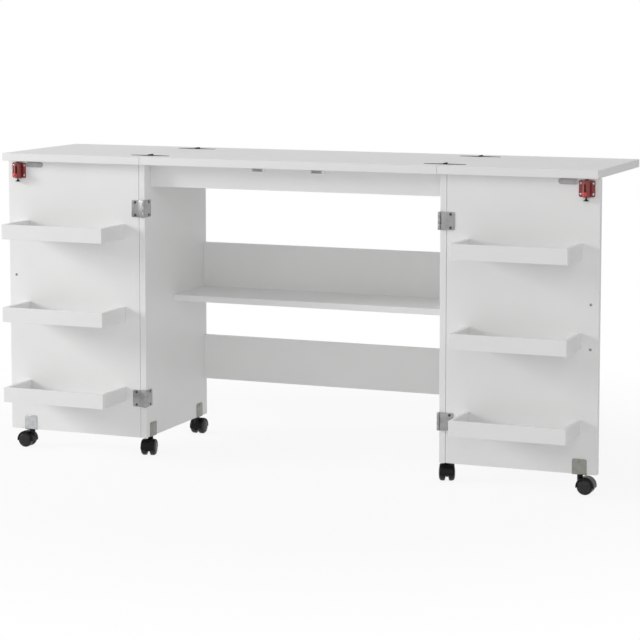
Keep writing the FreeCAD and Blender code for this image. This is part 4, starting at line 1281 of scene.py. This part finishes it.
class SEWING_TABLE_OT_leaf_hinges(bpy.types.Operator):
    """Builds the four strap hinges of the leaves"""
    bl_idname = "sewing_table.leaf_hinges"
    bl_label = "Leaf hinges"

    def execute(self, context):
        fixed = [part for side in SIDES for part in leaf_strap_parts(side, moving=False)]
        piece("fixed_straps", fixed, "cabinet", ["leaf_hinge_fixed_straps"])
        for side in SIDES:
            piece(side + "_straps", leaf_strap_parts(side, moving=True), side + "_leaf",
                  [side + "_leaf_hinge_straps"])
        return {"FINISHED"}


class SEWING_TABLE_OT_locks(bpy.types.Operator):
    """Builds the two locks with their sliding bolts"""
    bl_idname = "sewing_table.locks"
    bl_label = "Locks"

    def execute(self, context):
        for side in SIDES:
            door = side + "_door"
            piece(side + "_lock", lock_housing_parts(side), door, [door + "_lock_housing"])
            piece(side + "_bolt", bolt_parts(side), side + "_bolt", [side + "_lock_bolt"])
        return {"FINISHED"}


class SEWING_TABLE_OT_catches(bpy.types.Operator):
    """Builds the magnetic catches and the strike plates on the doors"""
    bl_idname = "sewing_table.catches"
    bl_label = "Catches and strikes"

    def execute(self, context):
        piece("catches", catch_parts(), "cabinet", ["magnetic_catches"])
        for side in SIDES:
            door = side + "_door"
            piece(door + "_strike", strike_parts(side), door, [door + "_strike_plate"])
        return {"FINISHED"}


class SEWING_TABLE_OT_handles(bpy.types.Operator):
    """Builds the bow handles on the doors' outer faces"""
    bl_idname = "sewing_table.handles"
    bl_label = "Handles"

    def execute(self, context):
        for side in SIDES:
            door = side + "_door"
            piece(door + "_bow", handle_parts(side), door, [door + "_handle"])
        return {"FINISHED"}


class SEWING_TABLE_OT_brackets(bpy.types.Operator):
    """Builds the steel saddles that hold the casters"""
    bl_idname = "sewing_table.brackets"
    bl_label = "Caster brackets"

    def execute(self, context):
        fixed = [part for name in CABINET_CASTERS for part in bracket_parts(name)]
        piece("saddles", fixed, "cabinet", ["cabinet_caster_brackets"])
        for name in DOOR_CASTERS:
            piece(name + "_saddle", bracket_parts(name), name, [name + "_caster_bracket"])
        return {"FINISHED"}


class SEWING_TABLE_OT_casters(bpy.types.Operator):
    """Builds hood, stem and wheels of the six casters"""
    bl_idname = "sewing_table.casters"
    bl_label = "Casters"

    def execute(self, context):
        for name in DOOR_CASTERS + CABINET_CASTERS:
            piece(name + "_hood", hood_parts(name), name + "_caster",
                  [name + "_caster_frame"])
            piece(name + "_stem", stem_parts(name), name + "_caster")
            for letter, hand in (("a", -1), ("b", 1)):
                piece(name + "_wheel_" + letter, wheel_parts(name, hand), name + "_wheel_" + letter,
                      [name + "_caster_wheel_" + letter])
        return {"FINISHED"}


class SEWING_TABLE_OT_screws(bpy.types.Operator):
    """Builds the heads of the screws and the caps of the cam fittings"""
    bl_idname = "sewing_table.screws"
    bl_label = "Screws and cams"

    def execute(self, context):
        sizes = settings("fittings")
        raised = head_parts(cabinet_seats(), sizes.screw_head, sizes.screw_rise)
        piece("cabinet_heads", raised, "cabinet", ["cabinet_screws"])
        piece("cams", cam_parts(), "cabinet")
        for side in SIDES:
            door = side + "_door"
            heads = head_parts(door_seats(side), sizes.screw_head, sizes.screw_rise)
            heads += head_parts(lock_seats(side), sizes.flush_head, sizes.screw_rise)
            heads += head_parts(strike_seats(side), sizes.flush_head, sizes.flush_rise * 2)
            piece(door + "_heads", heads, door, [door + "_screws"])
        return {"FINISHED"}


class SEWING_TABLE_OT_studio(bpy.types.Operator):
    """Builds floor, lamps, backdrop and camera"""
    bl_idname = "sewing_table.studio"
    bl_label = "Studio"

    def execute(self, context):
        looks = settings("studio")
        lay_floor(looks)
        light_up(looks)
        set_camera(looks)
        return {"FINISHED"}


# ---- Studio ----

def seen_straight(tree):
    """1 for light that reaches the camera straight, by a mirror or through glass, and 0 for other light."""
    path = added(tree, "LightPath", {})
    kinds = ("Is Camera Ray", "Is Glossy Ray", "Is Transmission Ray")
    return largest(tree, [path.outputs[kind] for kind in kinds])


def lay_floor(looks):
    """A flat square, two parameters from corner to corner, that keeps part of the table's shade."""
    reach = looks.floor_reach
    spots = np.linspace(-reach, reach, 9)
    grid = np.stack(np.meshgrid(spots, spots, indexing="ij") + [np.zeros((9, 9))], axis=-1)
    index = np.arange(81).reshape(9, 9)
    quads = np.stack([index[:-1, :-1], index[1:, :-1], index[1:, 1:], index[:-1, 1:]], axis=-1)
    mesh = bpy.data.meshes.new("floor")
    mesh.from_pydata(grid.reshape(-1, 3), [], quads.reshape(-1, 4).tolist())
    made, tree, shader = blank_finish("floor", tuple(looks.floor), 0.9)
    place = added(tree, "TexCoord", {}).outputs["Object"]
    far = added(tree, "VectorMath", {0: place}, operation="LENGTH").outputs["Value"]
    fade = spread(tree, far, 1 - looks.shade, 1, (looks.shade_reach / 2, looks.shade_reach))
    both = added(tree, "Math", {0: fade, 1: seen_straight(tree)}, operation="MULTIPLY").outputs["Value"]
    glow = added(tree, "Emission", {}).outputs["Emission"]
    mix = added(tree, "MixShader", {"Fac": both, 1: shader.outputs["BSDF"], 2: glow})
    feed(tree, tree.nodes["Material Output"], {"Surface": mix.outputs["Shader"]})
    mesh.materials.append(made)
    floor = bpy.data.objects.new("floor", mesh)
    bpy.context.scene.collection.objects.link(floor)


def light_up(looks):
    """Even light all round, which looks white where it is seen straight, and two large lamps."""
    world = bpy.data.worlds.new("studio")
    bpy.context.scene.world = world
    world.use_nodes = True
    tree, white = world.node_tree, (1, 1, 1, 1)
    even = tree.nodes["Background"]
    feed(tree, even, {"Color": white, "Strength": looks.ambient})
    plain = added(tree, "Background", {"Color": white}).outputs["Background"]
    mix = added(tree, "MixShader", {"Fac": seen_straight(tree), 1: even.outputs["Background"], 2: plain})
    feed(tree, tree.nodes["World Output"], {"Surface": mix.outputs["Shader"]})
    hang_lamp("side_lamp", looks.key_power, looks.key_size, looks.key_place)
    hang_lamp("front_lamp", looks.fill_power, looks.fill_size, looks.fill_place)


def hang_lamp(name, power, size, place):
    """A square lamp that shines at the middle of the table."""
    lamp = bpy.data.lights.new(name, "AREA")
    lamp.energy = power
    lamp.size = size
    holder = bpy.data.objects.new(name, lamp)
    bpy.context.scene.collection.objects.link(holder)
    holder.location = place
    aim = (cad_box[0] + cad_box[1]) / 2 - holder.location
    holder.rotation_euler = aim.to_track_quat("-Z", "Y").to_euler()


def set_camera(looks):
    """A camera with a long lens and a small shift."""
    camera = bpy.data.cameras.new("camera")
    camera.lens = looks.lens
    camera.sensor_width = 36
    camera.shift_y = looks.shift
    holder = bpy.data.objects.new("camera", camera)
    bpy.context.scene.collection.objects.link(holder)
    holder.location = looks.eye
    holder.rotation_euler = (math.pi / 2 - looks.pitch, 0, looks.turn)
    scene = bpy.context.scene
    scene.camera = holder
    scene.view_settings.view_transform = "Standard"


# ---- Panel and registering ----

OPERATORS = [
    SEWING_TABLE_OT_boards,
    SEWING_TABLE_OT_door_hinges,
    SEWING_TABLE_OT_leaf_hinges,
    SEWING_TABLE_OT_locks,
    SEWING_TABLE_OT_catches,
    SEWING_TABLE_OT_handles,
    SEWING_TABLE_OT_brackets,
    SEWING_TABLE_OT_casters,
    SEWING_TABLE_OT_screws,
    SEWING_TABLE_OT_studio,
]


class SEWING_TABLE_PT_panel(bpy.types.Panel):
    """Lists the steps that build the table's looks"""
    bl_idname = "SEWING_TABLE_PT_panel"
    bl_label = "Sewing Table"
    bl_space_type = "VIEW_3D"
    bl_region_type = "UI"
    bl_category = "Sewing Table"

    def draw(self, context):
        for operator in OPERATORS:
            self.layout.operator(operator.bl_idname)
        for name, group in SETTINGS.items():
            box = self.layout.box()
            box.label(text=group.__doc__)
            for key in group.__annotations__:
                box.prop(settings(name), key)


def register():
    """Registers the settings, the operators and the panel."""
    for name, group in SETTINGS.items():
        bpy.utils.register_class(group)
        setattr(bpy.types.Scene, PREFIX + name, PointerProperty(type=group))
    for operator in OPERATORS:
        bpy.utils.register_class(operator)
    bpy.utils.register_class(SEWING_TABLE_PT_panel)


def unregister():
    """Takes out what register put in."""
    bpy.utils.unregister_class(SEWING_TABLE_PT_panel)
    for operator in reversed(OPERATORS):
        bpy.utils.unregister_class(operator)
    for name, group in reversed(SETTINGS.items()):
        delattr(bpy.types.Scene, PREFIX + name)
        bpy.utils.unregister_class(group)


def main():
    """Builds everything."""
    register()
    for operator in OPERATORS:
        group, name = operator.bl_idname.split(".")
        getattr(getattr(bpy.ops, group), name)()


if __name__ == "__main__":
    main()
